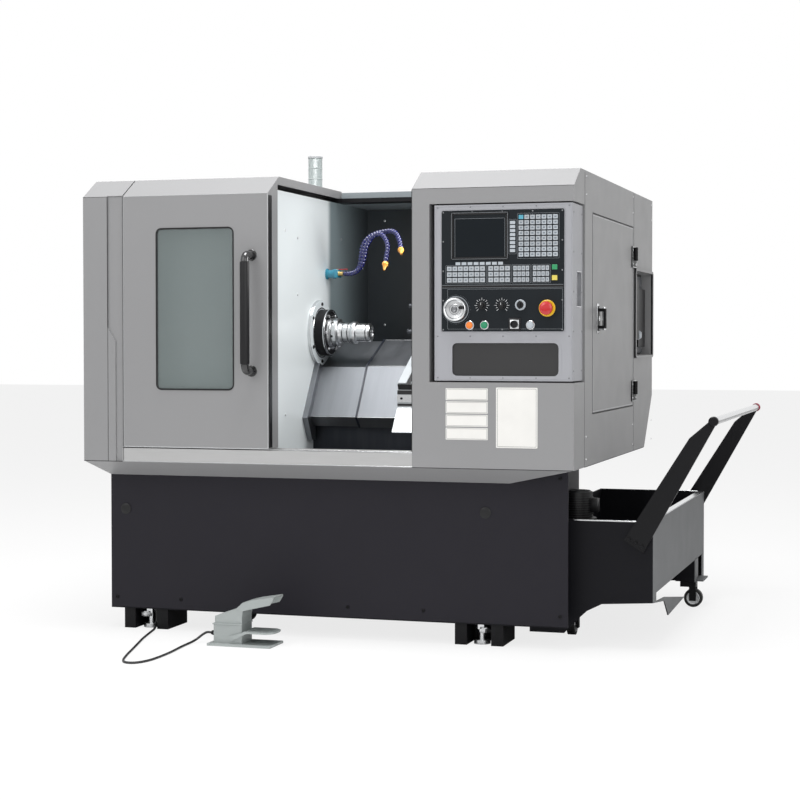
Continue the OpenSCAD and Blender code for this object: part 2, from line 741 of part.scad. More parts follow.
module dial(x) {
    translate([x, 0, dial_z]) rotate([90, 0, 0]) {
        translate([0, 0, panel_t + 1]) cylinder(h = 15, r = knob_dia / 2);
        translate([0, 0, -18]) cylinder(h = panel_t + 19, r = 4);
    }
}

module left_dial() color("#101114") placed() dial(dial_x[0]);
module right_dial() color("#101114") placed() dial(dial_x[1]);

// Cabinet door.
module cabinet_door() color("#8b8c8e") placed() {
    block([right_x - leaf_t, right_x], cab_y, cab_z);
}

latch_y = 385;
latch_z = [1051, 1135];

module cabinet_door_hardware() color("#24262a") placed() {
    for (z = hinge_z) {
        difference() {
            union() {
                rod_z(hinge_x, hinge_y, [z, z + hinge_half], knuckle_r);
                block([right_x, right_x + 4], [hinge_y - 33, hinge_y - 1], [z, z + hinge_half]);
                block([right_x + 2, right_x + 10], [hinge_y - 7, hinge_y - 1], [z, z + hinge_half]);
            }
            rod_z(hinge_x, hinge_y, [z - 1, z + hinge_half + 1], hinge_pin_r + 0.05);
        }
    }
    block([right_x, right_x + 6], [latch_y - 16, latch_y + 16], latch_z);
    for (z = [latch_z[0] + 8, latch_z[1] - 18]) block([right_x + 5, right_x + 24], [latch_y - 7, latch_y + 7], [z, z + 10]);
    block([right_x + 22, right_x + 30], [latch_y - 7, latch_y + 7], [latch_z[0] + 8, latch_z[1] - 8]);
}

// Chip cart: a low tank that runs under the machine and a tall box beside it.
tank_floor_z = 80;
skirt_low_z = 45;
bin_floor_z = 183;
end_bar_y = bin_y + 69;

module chip_cart() color("#2c2e33") placed() {
    cart_shell();
    cart_carriers();
}

module cart_shell() difference() {
    union() {
        block([tank_x, bin_x + cart_t], [tank_y, tank_y + tank_d], [skirt_low_z, tank_z]);
        block([bin_x, bin_right_x], [bin_y, bin_rear_y], [bin_floor_z, bin_z]);
        along_y([bin_y, bin_y + cart_t]) polygon([[bin_x, skirt_low_z], [bin_x + 118, skirt_low_z],
            [bin_x + 144, 73], [bin_x + 168, 97], [bin_x + 195, 122], [bin_x + 245, 147], [bin_right_x, 157],
            [bin_right_x, bin_z], [bin_x, bin_z]]);
        along_y([bin_rear_y - cart_t, bin_rear_y]) polygon([[bin_x, skirt_low_z], [bin_x + 118, skirt_low_z],
            [bin_right_x, 84], [bin_right_x, bin_z], [bin_x, bin_z]]);
        end_guard();
    }
    block([tank_x + cart_t, bin_x + cart_t + 1], [tank_y + cart_t, tank_y + tank_d - cart_t],
        [tank_floor_z + cart_t, tank_z + 1]);
    block([tank_x + cart_t, bin_x - cart_t], [tank_y + cart_t, tank_y + tank_d - cart_t],
        [skirt_low_z - 1, tank_floor_z]);
    block([bin_x + cart_t, bin_right_x - cart_t], [bin_y + cart_t, bin_rear_y - cart_t],
        [bin_floor_z + cart_t, bin_z + 1]);
}

// The end wall's foot: two narrow strips and a pointed guard that hangs from the front one.
module end_guard() {
    along_x([bin_right_x - cart_t, bin_right_x]) {
        polygon([[bin_y, 157], [end_bar_y, 152], [end_bar_y, bin_floor_z + 1], [bin_y, bin_floor_z + 1]]);
        polygon([[bin_y, 157], [bin_y + 238, 131], [bin_y + 324, 69], [bin_y + 699, 80], [bin_y + 250, 143],
            [end_bar_y, 154], [bin_y, 159]]);
        polygon([[bin_rear_y - 60, 84], [bin_rear_y, 84], [bin_rear_y, bin_floor_z + 1],
            [bin_rear_y - 60, bin_floor_z + 1]]);
    }
}

// Hangers that carry the tank's axle, and plates that carry the casters' stems.
module cart_carriers() {
    for (y = [wheel_y[0] + 20, wheel_y[1] - 28]) difference() {
        block([axle_x - 20, axle_x + 20], [y, y + 8], [wheel_r - 16, tank_floor_z]);
        rod_y(axle_x, [y - 1, y + 9], wheel_r, axle_r + axle_fit);
    }
    for (c = [0, 1]) difference() {
        union() {
            block([caster_x[c] - 38, caster_x[c] + 38], [caster_y[c] - 38, caster_y[c] + 38],
                [caster_plate_z, bin_floor_z + 1]);
            if (c == 1) block([caster_x[c] - 60, caster_x[c] + 66], [caster_y[c] - 20, caster_y[c] + 110],
                [caster_plate_z, caster_plate_z + 6]);
        }
        rod_z(caster_x[c], caster_y[c], [caster_plate_z - 1, caster_plate_z + 20], stem_r + axle_fit);
    }
}

arm_low = [bin_right_x - 63, 342];
arm_high = [bar_x, bar_z];
arm_w = 76;
arm_t = 10;

module arm_outline() {
    v = unit(arm_high - arm_low);
    n = [-v[1], v[0]];
    polygon([arm_low + n * arm_w / 2, arm_low - n * arm_w / 2, arm_high - n * (bar_r - 2),
        arm_high + n * (bar_r - 2), arm_low + n * arm_w / 2 + v * 400]);
}

module cart_handle() color("#0f1013") placed() {
    for (y = [[bin_y - arm_t, bin_y], [bin_rear_y, bin_rear_y + arm_t]]) along_y(y) arm_outline();
    rod_y(bar_x, [bin_y - arm_t - 26, bin_rear_y + arm_t + 26], bar_z, bar_r);
}

pump_x = bin_x + 115;
pump_y = bin_y + 210;

module coolant_pump() color("#16171a") placed() {
    rod_z(pump_x, pump_y, [bin_floor_z + cart_t, 400], 40);
    rod_z(pump_x, pump_y, [400, 410], 70);
    rod_z(pump_x, pump_y, [410, 500], 55);
}

// Wheels: a pair on one axle under the tank, and two swivel casters under the tall box.
wheel_r = caster_dia / 2;
wheel_t = 26;
axle_x = tank_x + 60;
axle_r = 8;
axle_fit = 0.05;
wheel_y = [tank_y + 60, tank_y + tank_d - 60];
caster_x = [bin_x + 94, bin_right_x - 35];
caster_y = [bin_y + 216, bin_rear_y - 217];
caster_trail = 26;
caster_plate_z = 100;
stem_r = 10;

module tank_wheels() color("#0e0f11") placed() {
    for (y = wheel_y) rod_y(axle_x, [y - wheel_t / 2, y + wheel_t / 2], wheel_r, wheel_r);
    rod_y(axle_x, [wheel_y[0], wheel_y[1]], wheel_r, axle_r);
}

// A fork that trails along +X, turned about its stem by an angle.
module caster_fork(c, turn) translate([caster_x[c], caster_y[c], 0]) rotate([0, 0, turn]) {
    rod_z(0, 0, [caster_plate_z - 4, caster_plate_z + 16], stem_r);
    block([-22, caster_trail + 12], [-24, 24], [wheel_r * 2 + 8, caster_plate_z - 3]);
    for (side = [-24, 18]) block([caster_trail - 14, caster_trail + 12],
        [side, side + 6], [wheel_r - 10, wheel_r * 2 + 9]);
    rod_y(caster_trail, [-22, 22], wheel_r, axle_r - 2);
}

module caster_wheel(c, turn) translate([caster_x[c], caster_y[c], 0]) rotate([0, 0, turn]) difference() {
    rod_y(caster_trail, [-wheel_t / 2, wheel_t / 2], wheel_r, wheel_r);
    rod_y(caster_trail, [-wheel_t, wheel_t], wheel_r, axle_r - 2 + axle_fit);
}

module front_caster() color("#3a3c40") placed() caster_fork(0, 90);
module rear_caster() color("#3a3c40") placed() caster_fork(1, 0);
module front_caster_wheel() color("#0e0f11") placed() caster_wheel(0, 90);
module rear_caster_wheel() color("#0e0f11") placed() caster_wheel(1, 0);

// Foot pedal, which stands on the floor in front of the machine.
pedal_mid_y = pedal_y + pedal_d / 2;
pedal_body_w = 88;
pedal_body_x = [pedal_x + 18, pedal_x + 119];
pedal_plate_t = 8;
pedal_seam_z = 70;
treadle_pin = [pedal_x + 86, 27];
treadle_pin_r = 4;
treadle_t = 6;
treadle_z = 44;
treadle_end_x = pedal_x + 232;

module pedal_housing() color("#9aa09f") placed() {
    side = pedal_body_w / 2;
    block([pedal_x, pedal_x + pedal_l], [pedal_y, pedal_y + pedal_d], [0, pedal_plate_t]);
    block(pedal_body_x, [pedal_mid_y - side, pedal_mid_y + side], [pedal_plate_t, pedal_seam_z]);
    block([pedal_body_x[0] - 3, pedal_body_x[1] + 2], [pedal_mid_y - side - 3, pedal_mid_y + side + 3],
        [pedal_seam_z, pedal_seam_z + 4]);
    along_y([pedal_mid_y - side + 2, pedal_mid_y + side - 2]) polygon([[pedal_body_x[0] + 4, pedal_seam_z + 4],
        [pedal_body_x[0] + 4, 98], [pedal_x + 100, 126], [pedal_x + 122, 146], [pedal_x + 160, 156],
        [treadle_end_x, 168], [treadle_end_x, 162], [pedal_x + 165, 148], [pedal_x + 138, 138],
        [pedal_x + 122, 118], [pedal_body_x[1], 96], [pedal_body_x[1], pedal_seam_z + 4]]);
    for (y = [-side, side - 4]) along_y([pedal_mid_y + y, pedal_mid_y + y + 4]) polygon([[pedal_x + 98, 124],
        [pedal_x + 122, 118], [pedal_x + 219, 141], [treadle_end_x, 160], [treadle_end_x, 168],
        [pedal_x + 160, 156], [pedal_x + 122, 146]]);
    rod_y(treadle_pin[0], [pedal_mid_y - side - 8, pedal_mid_y + side + 8], treadle_pin[1], treadle_pin_r);
}

module pedal_gland() color("#d8d9d6") placed() {
    rod_x([pedal_x - 10, pedal_x + 4], pedal_mid_y, cord_z, 8);
    rod_x([pedal_x + 4, pedal_body_x[0]], pedal_mid_y, cord_z, 13);
}

module pedal_treadle() color("#a9afae") placed() {
    side = pedal_body_w / 2 + 1;
    for (y = [[-side - treadle_t, -side], [side, side + treadle_t]]) difference() {
        along_y([pedal_mid_y + y[0], pedal_mid_y + y[1]]) {
            polygon([[treadle_pin[0], treadle_pin[1] - 9], [pedal_body_x[1] + 20, treadle_z],
                [pedal_body_x[1] + 20, treadle_z + treadle_t], [treadle_pin[0], treadle_pin[1] + 9]]);
            translate(treadle_pin) circle(9);
        }
        rod_y(treadle_pin[0], [pedal_mid_y + y[0] - 1, pedal_mid_y + y[1] + 1], treadle_pin[1],
            treadle_pin_r + axle_fit);
    }
    translate([0, 0, treadle_z]) linear_extrude(treadle_t) polygon([
        [pedal_body_x[1] + 6, pedal_mid_y - side - treadle_t], [treadle_end_x - 24, pedal_mid_y - side - treadle_t],
        [treadle_end_x - 4, pedal_mid_y - side + 12], [treadle_end_x, pedal_mid_y],
        [treadle_end_x - 4, pedal_mid_y + side - 12], [treadle_end_x - 24, pedal_mid_y + side + treadle_t],
        [pedal_body_x[1] + 6, pedal_mid_y + side + treadle_t]]);
}

// Cord from the pedal to the left foot's pocket, as points in machine millimetres.
cord_z = 34;
cord_route = [[-360, -70, cord_z], [-376, -70, cord_z], [-392, -73, 25], [-406, -88, 12], [-415, -112, 5],
    [-416, -135, 4],
    [-412, -200, 4], [-403, -300, 4], [-402, -400, 4], [-410, -460, 4], [-432, -498, 4], [-462, -500, 4],
    [-486, -470, 4], [-515, -390, 4], [-548, -280, 4], [-578, -180, 4], [-608, -80, 4], [-636, 30, 4],
    [-654, 100, 4], [-666, 135, 8], [-670, 152, 20], [-671, 158, 36], [-671, 158, 60]];
cord_sides = 8;

// A tube swept along points, with a radius for each ring.
function tangent(p, i) = unit(p[min(i + 1, len(p) - 1)] - p[max(i - 1, 0)]);
function side_of(t) = abs(t[2]) > 0.9 ? unit(cross(t, [0, 1, 0])) : unit(cross(t, [0, 0, 1]));
function ring_at(p, i, r, m, side) = let (t = tangent(p, i),
    s = side == undef ? side_of(t) : unit(side - t * (side * t)), u = cross(s, t))
    [for (k = [0 : m - 1]) p[i] + r * (s * cos(k * 360 / m) + u * sin(k * 360 / m))];

module swept_tube(p, radii, m, side) {
    n = len(p);
    polyhedron(points = [for (i = [0 : n - 1]) each ring_at(p, i, radii[i], m, side)],
        faces = concat([[for (k = [0 : m - 1]) k]], [[for (k = [m - 1 : -1 : 0]) (n - 1) * m + k]],
            [for (i = [0 : n - 2], k = [0 : m - 1]) [i * m + k, (i + 1) * m + k,
                (i + 1) * m + (k + 1) % m, i * m + (k + 1) % m]]));
}

module pedal_cord() color("#17171a") placed()
    swept_tube(cord_route, [for (p = cord_route) cord_dia / 2], cord_sides);

module cord_entry() color("#1b1c20") placed() rod_z(-671, 158, [60, foot_h], 9);

base_casting();
front_apron();
levelling_feet();
levelling_bolts();
floor_pan();
left_end_housing();
headstock_housing();
headstock_wall();
spindle_cover_ring();
rear_housing();
top_beam();
door_top_rail();
back_wall();
right_front_housing();
right_side_housing();
right_roof();
hinge_pins();
side_port();
tower_light();
sill();
slant_bed();
fixed_covers();
way_end_plate();
coolant_manifold();
coolant_hoses();
cord_entry();
pedal_housing();
pedal_gland();
pedal_cord();
pedal_treadle();
door_hood();
door_window();
door_handle();
spindle_flange();
collet_chuck();
control_box();
operator_panel();
panel_buttons();
handwheel();
emergency_stop();
left_dial();
right_dial();
cabinet_door();
cabinet_door_hardware();
carriage();
left_moving_cover();
right_moving_cover();
left_middle_cover();
right_middle_cover();
cross_slide();
turret_body();
turret_disc();
chip_cart();
cart_handle();
coolant_pump();
tank_wheels();
front_caster();
rear_caster();
front_caster_wheel();
rear_caster_wheel();
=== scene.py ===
# %% [markdown]
# A slant bed lathe, dressed for its portrait. The steel pieces arrive from the frame at their
# real size and place, so this notebook adds what a paint shop and an electrician would add:
# finishes, keys, screws, plates and trim. Everything is in metres, +Z up, front towards -Y.

# %% load the frame
import math

import bmesh
import bpy
from mathutils import Matrix, Vector


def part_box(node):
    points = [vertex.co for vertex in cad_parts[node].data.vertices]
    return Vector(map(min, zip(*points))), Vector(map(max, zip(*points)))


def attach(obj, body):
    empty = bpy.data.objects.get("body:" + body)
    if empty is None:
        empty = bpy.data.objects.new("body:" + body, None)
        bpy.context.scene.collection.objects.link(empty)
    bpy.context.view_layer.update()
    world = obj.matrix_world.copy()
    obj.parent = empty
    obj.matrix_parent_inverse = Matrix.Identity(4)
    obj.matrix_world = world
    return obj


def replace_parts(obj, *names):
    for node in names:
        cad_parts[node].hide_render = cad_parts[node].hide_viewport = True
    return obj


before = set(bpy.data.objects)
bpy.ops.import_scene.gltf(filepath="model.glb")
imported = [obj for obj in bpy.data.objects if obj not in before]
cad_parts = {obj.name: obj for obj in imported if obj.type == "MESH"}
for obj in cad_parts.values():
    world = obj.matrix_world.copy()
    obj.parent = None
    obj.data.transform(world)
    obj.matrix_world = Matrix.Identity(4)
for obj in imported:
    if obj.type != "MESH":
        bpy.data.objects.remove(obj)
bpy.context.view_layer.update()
MM = 0.001

# %% [markdown]
# Drawings of a machine measure from its own corner: X from the middle of the enclosure, Y from
# its front face, Z from the floor. The frame's origin lies elsewhere, so one small function
# turns drawing millimetres into frame metres. The left end housing gives the offset.

# %% drawing coordinates
end_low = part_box("left_end_housing")[0]
HALF_WIDTH = 870


def at(x, y, z):
    """A point of the drawing, in millimetres, as a frame point in metres."""
    return Vector((end_low[0] + (x + HALF_WIDTH) * MM, end_low[1] + y * MM, z * MM))


print("drawing zero lies at", tuple(round(c, 4) for c in at(0, 0, 0)))

# %% [markdown]
# The camera stands where the photographer stood: a little right of the machine, at about chest
# height, with a long lens. The small shift keeps verticals upright, as a view camera does.

# %% camera
camera_data = bpy.data.cameras.new("camera")
camera_data.lens = 78.16
camera_data.sensor_width = 36
camera_data.shift_x = -0.05
camera_data.shift_y = -0.02
camera = bpy.data.objects.new("camera", camera_data)
camera.location = at(2033.4, -5448.4, 1016.9)
camera.rotation_euler = (math.pi / 2 - 0.0248, 0, 0.2873)
bpy.context.scene.collection.objects.link(camera)
bpy.context.scene.camera = camera
bpy.context.scene.view_settings.view_transform = "Standard"
print("camera at", tuple(round(c, 3) for c in camera.location))

# %% [markdown]
# The pedal's cord is a plain rubber lead. It leaves the gland level, sinks to the floor, swings
# forward in one loose loop and goes up behind the left foot into the base. A curve with a round
# bevel is the simplest honest cord: its own line is its length, so it can be measured.

# %% pedal cord
CORD_DIAMETER = 8 * MM
cord_route = [(-360, -70, 34), (-376, -70, 34), (-392, -73, 25), (-406, -88, 12), (-415, -112, 5),
    (-416, -135, 4), (-412, -200, 4), (-403, -300, 4), (-402, -400, 4), (-410, -460, 4), (-432, -498, 4),
    (-462, -500, 4), (-486, -470, 4), (-515, -390, 4), (-548, -280, 4), (-578, -180, 4), (-608, -80, 4),
    (-636, 30, 4), (-654, 100, 4), (-666, 135, 8), (-670, 152, 20), (-671, 158, 36), (-671, 158, 60)]
cord_points = [at(*p) for p in cord_route]


def length_of(points):
    return sum((b - a).length for a, b in zip(points, points[1:]))


def round_curve(name, points, radius, resolution=4):
    """A curve of one open spline with a round bevel. The points carry the radius, so that its box fits."""
    data = bpy.data.curves.new(name, "CURVE")
    data.dimensions = "3D"
    data.bevel_depth = 1.0
    data.bevel_resolution = resolution
    data.use_fill_caps = True
    spline = data.splines.new("POLY")
    spline.points.add(len(points) - 1)
    for point, place in zip(spline.points, points):
        point.co = (*place, 1)
        point.radius = radius
    spline.use_smooth = True
    piece = bpy.data.objects.new(name, data)
    bpy.context.scene.collection.objects.link(piece)
    return piece


def eased(points, steps=4):
    """The same route with the corners rounded: a Catmull-Rom curve through every point."""
    out = []
    for i in range(len(points) - 1):
        a, b = points[max(i - 1, 0)], points[i]
        c, d = points[i + 1], points[min(i + 2, len(points) - 1)]
        for k in range(steps):
            t = k / steps
            out.append(0.5 * (2 * b + (c - a) * t + (2 * a - 5 * b + 4 * c - d) * t * t
                + (3 * b - 3 * c + d - a) * t * t * t))
    return out + [points[-1]]


cord_line = eased(cord_points)
pedal_lead = round_curve("pedal_lead", cord_line, CORD_DIAMETER / 2)
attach(pedal_lead, "machine")
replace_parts(pedal_lead, "pedal_cord")
cord_length = length_of(cord_line)
print("cord is", round(cord_length, 3), "m long")

# %% [markdown]
# A pale floor and a plain studio. The world shows white to the camera and to glossy and glass
# surfaces, so that steel mirrors a white room, but it lights the machine at a plain level. Two
# large soft lamps light the front and the right side, one overhead lights the roof slopes, and
# a small one inside the work area does what the work light of such a machine does.

# %% floor and light
FLOOR_HALF = 30.0
floor_mesh = bpy.data.meshes.new("floor")
floor_bm = bmesh.new()
bmesh.ops.create_grid(floor_bm, x_segments=1, y_segments=1, size=FLOOR_HALF)
floor_bm.to_mesh(floor_mesh)
floor_bm.free()
floor = bpy.data.objects.new("floor", floor_mesh)
floor.location.z = -0.0006
bpy.context.scene.collection.objects.link(floor)


def soft_lamp(name, place, target, width, watts):
    """A square area lamp that looks at a target."""
    data = bpy.data.lights.new(name, "AREA")
    data.shape = "SQUARE"
    data.size = width
    data.energy = watts
    lamp = bpy.data.objects.new(name, data)
    lamp.location = place
    lamp.rotation_euler = (Vector(target) - Vector(place)).to_track_quat("-Z", "Y").to_euler()
    bpy.context.scene.collection.objects.link(lamp)
    return lamp


soft_lamp("key_lamp", (-2.6, -5.2, 4.2), (0, 0, 0.9), 3.2, 84)
soft_lamp("fill_lamp", (3.4, -4.6, 2.6), (0, 0, 0.9), 3.4, 54)
soft_lamp("roof_lamp", (-0.2, -0.9, 5.4), (-0.2, -0.3, 1.2), 2.6, 265)
soft_lamp("work_lamp", at(430, 370, 1390), at(-190, 330, 1120), 0.24, 2.4)
world = bpy.data.worlds.new("studio")
bpy.context.scene.world = world
world.use_nodes = True
world_nodes = world.node_tree
world_nodes.nodes.clear()
print("lamps and world set")

# %% [markdown]
# Shader maths reads best as plain sums. A Wire wraps one socket, and + - * / on it add a Math
# node each. Colours and vectors are not numbers, so they go through Mix and Vector Math nodes
# by way of the one method that makes any node.

# %% shader sums
class Wire:
    def __init__(self, tree, socket):
        self.tree = tree
        self.socket = socket

    def maths(self, operation, first, second):
        return make_node(self.tree, "Math", {"operation": operation}, {0: first, 1: second})

    def __add__(self, other):
        return self.maths("ADD", self, other)

    def __radd__(self, other):
        return self.maths("ADD", other, self)

    def __sub__(self, other):
        return self.maths("SUBTRACT", self, other)

    def __rsub__(self, other):
        return self.maths("SUBTRACT", other, self)

    def __mul__(self, other):
        return self.maths("MULTIPLY", self, other)

    def __rmul__(self, other):
        return self.maths("MULTIPLY", other, self)

    def __gt__(self, other):
        return self.maths("GREATER_THAN", self, other)


def make_node(tree, kind, settings=None, feeds=None, output=0):
    """Make a shader node: its settings first, then the values or wires of its sockets."""
    node = tree.nodes.new("ShaderNode" + kind)
    for key, value in (settings or {}).items():
        if key == "stops":
            for element, (place, colour) in zip(node.color_ramp.elements, value):
                element.position = place
                element.color = colour
        else:
            setattr(node, key, value)
    for key, value in (feeds or {}).items():
        if isinstance(value, Wire):
            tree.links.new(value.socket, node.inputs[key])
        else:
            node.inputs[key].default_value = value
    return Wire(tree, node.outputs[output]) if node.outputs else node


# %% world colours
ROOM_LIGHT = 0.37
WHITE = (1, 1, 1, 1)
path = world_nodes.nodes.new("ShaderNodeLightPath")
seen = Wire(world_nodes, path.outputs["Is Camera Ray"])
mirrored = Wire(world_nodes, path.outputs["Is Glossy Ray"])
through = Wire(world_nodes, path.outputs["Is Transmission Ray"])
shown = make_node(world_nodes, "Math", {"operation": "MAXIMUM"},
    {0: seen, 1: make_node(world_nodes, "Math", {"operation": "MAXIMUM"}, {0: mirrored, 1: through})})
sky = make_node(world_nodes, "Background", {}, {"Color": WHITE, "Strength": shown * (1 - ROOM_LIGHT) + ROOM_LIGHT})
make_node(world_nodes, "OutputWorld", {}, {"Surface": sky})
print("room light", ROOM_LIGHT)

# %% [markdown]
# Most of this machine is powder coated sheet. Such a coat has a fine orange peel, a soft sheen
# and faint clouds where the gun passed. One recipe, given a colour and how rough and how pale
# its clouds are, serves every painted piece. It reads Object coordinates, which are metres.

# %% paint
def finish(name):
    """An empty node material: its tree and its surface shader."""
    material = bpy.data.materials.new(name)
    material.use_nodes = True
    tree = material.node_tree
    shader = next(n for n in tree.nodes if n.type == "BSDF_PRINCIPLED")
    return material, tree, shader


def place_wire(tree, scale=(1, 1, 1), turn=(0, 0, 0)):
    """Object coordinates, stretched and turned."""
    raw = make_node(tree, "TexCoord", {}, {}, "Object")
    return make_node(tree, "Mapping", {}, {"Vector": raw, "Scale": scale, "Rotation": turn})


def noise(tree, where, scale, detail=3.0, roughness=0.5):
    return make_node(tree, "TexNoise", {}, {"Vector": where, "Scale": scale, "Detail": detail,
        "Roughness": roughness}, "Fac")


def mixed(tree, factor, first, second):
    """Two colours mixed by a factor."""
    return make_node(tree, "Mix", {"data_type": "RGBA"}, {0: factor, 6: first, 7: second}, 2)


def feed(tree, socket, wire):
    tree.links.new(wire.socket, socket)


def rgb(grey_or_three, gain=1.0):
    r, g, b = grey_or_three
    return (min(r * gain, 1), min(g * gain, 1), min(b * gain, 1), 1)


def paint(name, colour, rough=0.42, cloud=0.05, peel=0.12, peel_scale=700, scuff=0.0, coat=0.0, gleam=0.5):
    """Powder coat: clouds in the colour, a fine peel in the bump, and scuffs where asked."""
    material, tree, shader = finish(name)
    where = place_wire(tree)
    clouds = noise(tree, where, 2.6, 4.0)
    base = mixed(tree, clouds, rgb(colour, 1 - cloud), rgb(colour, 1 + cloud))
    shine = noise(tree, where, 9.0, 5.0) * 0.14 + (rough - 0.07)
    if scuff:
        marks = noise(tree, place_wire(tree, (1, 1, 0.18)), 55.0, 6.0, 0.72)
        worn = make_node(tree, "MapRange", {}, {"Value": marks, "From Min": 0.63, "From Max": 0.75,
            "To Min": 0.0, "To Max": scuff})
        base = mixed(tree, worn, base, rgb(colour, 1.9))
        shine = shine + worn * 0.3
    feed(tree, shader.inputs["Base Color"], base)
    feed(tree, shader.inputs["Roughness"], shine)
    shader.inputs["Coat Weight"].default_value = coat
    shader.inputs["Specular IOR Level"].default_value = gleam
    grain = noise(tree, where, peel_scale, 2.0)
    bump = make_node(tree, "Bump", {}, {"Height": grain, "Strength": peel, "Distance": 0.0006})
    feed(tree, shader.inputs["Normal"], bump)
    return material


GREY = (0.275, 0.275, 0.28)
enclosure_coat = paint("enclosure_coat", GREY, 0.40, 0.03, 0.10)
work_area_coat = paint("work_area_coat", (0.80, 0.86, 0.88), 0.34, 0.03, 0.05)
base_coat = paint("base_coat", (0.0125, 0.0115, 0.0165), 0.55, 0.08, 0.20, 520, 0.04, gleam=0.22)
black_coat = paint("black_coat", (0.007, 0.007, 0.008), 0.40, 0.10, 0.08, gleam=0.15)
cart_coat = paint("cart_coat", (0.006, 0.006, 0.008), 0.50, 0.08, 0.10, 600, 0.06, gleam=0.12)
cart_end = cart_coat.node_tree
cart_shader = next(n for n in cart_end.nodes if n.type == "BSDF_PRINCIPLED")
cart_axes = make_node(cart_end, "SeparateXYZ", {}, {0: place_wire(cart_end)}, 0)
# painted sheen: beyond this x the black cart's right side is coloured grey, for the light its paint catches there
wall_front = at(1094.5, 0, 0).x
painted_sheen_side = cart_axes > wall_front
dark_paint = Wire(cart_end, cart_shader.inputs["Base Color"].links[0].from_socket)
feed(cart_end, cart_shader.inputs["Base Color"], mixed(cart_end, painted_sheen_side, dark_paint, (0.145, 0.15, 0.155, 1)))
pedal_coat = paint("pedal_coat", (0.36, 0.39, 0.385), 0.34, 0.10, 0.45, 170, 0.10)
# painted shade: the back wall is coloured the dark of the shade deep in the work area
shaded_back_wall_coat = paint("shaded_back_wall_coat", (0.035, 0.043, 0.05), 0.42, 0.10, 0.08)
box_coat = paint("box_coat", (0.36, 0.365, 0.39), 0.40, 0.03, 0.10)


def painted_shade_along(material, axis, first, last, shaded_colour):
    """Painted shade: let a paint's colour fall to a darker one between two places on one axis of the frame."""
    tree = material.node_tree
    socket = next(n for n in tree.nodes if n.type == "BSDF_PRINCIPLED").inputs["Base Color"]
    near = Wire(tree, socket.links[0].from_socket)
    along = make_node(tree, "SeparateXYZ", {}, {0: place_wire(tree)}, axis)
    fade = make_node(tree, "MapRange", {"interpolation_type": "SMOOTHSTEP"}, {"Value": along, "From Min": first,
        "From Max": last, "To Min": 0.0, "To Max": 1.0})
    feed(tree, socket, mixed(tree, fade, near, shaded_colour))


beam_coat = paint("beam_coat", (0.30, 0.34, 0.36), 0.40, 0.03, 0.05)
wall_coat = paint("wall_coat", (0.84, 0.89, 0.90), 0.34, 0.03, 0.05)
# painted shade: the headstock wall darkens to grey teal, then to the back wall's dark, towards the back of the work
# area
painted_shade_along(wall_coat, 1, at(0, 600, 0).y, at(0, 650, 0).y, (0.22, 0.27, 0.285, 1))
painted_shade_along(wall_coat, 1, at(0, 700, 0).y, at(0, 1090, 0).y, (0.035, 0.043, 0.05, 1))
# a pale paint, for the tower light's cap and for painted highlights along lit sheet edges
pale_and_highlight_coat = paint("pale_and_highlight_coat", (0.50, 0.51, 0.52), 0.36, 0.03, 0.06)
slide_white = paint("slide_white", (0.50, 0.53, 0.55), 0.24, 0.03, 0.03, coat=0.3)
gap_black = paint("gap_black", (0.006, 0.006, 0.007), 0.55, 0.10, 0.05)
port_grey = paint("port_grey", (0.075, 0.08, 0.09), 0.42, 0.06, 0.08)
# painted shade: the back wall darkens further from its left edge to the right
painted_shade_along(shaded_back_wall_coat, 0, at(-190, 0, 0).x, at(60, 0, 0).x, (0.010, 0.012, 0.014, 1))
print("paints:", sum(m.name.endswith("_coat") for m in bpy.data.materials))

# %% [markdown]
# Bare steel is told apart by the way it was worked. Brushed sheet has long scratches in one
# direction, so its noise is stretched a hundredfold. Turned parts carry rings, and oiled way
# covers show streaks that run down the slope with the coolant.

# %% steels
def steel(name, colour, rough, stretch, scale=9.0, depth=0.10, streak=0.0, streak_colour=(0.05, 0.055, 0.06)):
    """Worked steel: scratches along the axis that is stretched least, with oily streaks."""
    material, tree, shader = finish(name)
    where = place_wire(tree, stretch)
    scratch = noise(tree, where, scale, 6.0, 0.7)
    base = mixed(tree, scratch, rgb(colour, 0.86), rgb(colour, 1.10))
    shine = scratch * 0.26 + (rough - 0.13)
    if streak:
        runs = noise(tree, place_wire(tree, (9, 0.8, 0.8)), 3.0, 5.0, 0.62)
        wet = make_node(tree, "MapRange", {}, {"Value": runs, "From Min": 0.44, "From Max": 0.66,
            "To Min": 0.0, "To Max": streak})
        base = mixed(tree, wet, base, rgb(streak_colour))
        shine = shine - wet * 0.12
    feed(tree, shader.inputs["Base Color"], base)
    feed(tree, shader.inputs["Roughness"], shine)
    shader.inputs["Metallic"].default_value = 1.0
    bump = make_node(tree, "Bump", {}, {"Height": scratch, "Strength": depth, "Distance": 0.0004})
    feed(tree, shader.inputs["Normal"], bump)
    return material


brushed_sheet = steel("brushed_sheet", (0.50, 0.50, 0.50), 0.36, (1, 90, 90))
slide_sheet = steel("slide_sheet", (0.40, 0.42, 0.43), 0.30, (60, 1, 1))
cover_sheet = steel("cover_sheet", (0.21, 0.22, 0.235), 0.42, (40, 1, 1), 12.0, 0.03, 0.22, (0.14, 0.147, 0.16))
bed_iron = steel("bed_iron", (0.035, 0.038, 0.045), 0.50, (1, 1, 1), 60.0, 0.20, 0.3)
chuck_steel = steel("chuck_steel", (0.66, 0.67, 0.68), 0.30, (1, 1, 1), 240.0, 0.06)
bright_steel = steel("bright_steel", (0.62, 0.63, 0.64), 0.22, (1, 1, 1), 300.0, 0.04)
turned_grey = steel("turned_grey", (0.22, 0.225, 0.235), 0.34, (1, 1, 1), 260.0, 0.05)
brass = steel("brass", (0.58, 0.42, 0.16), 0.30, (1, 1, 1), 200.0, 0.05)
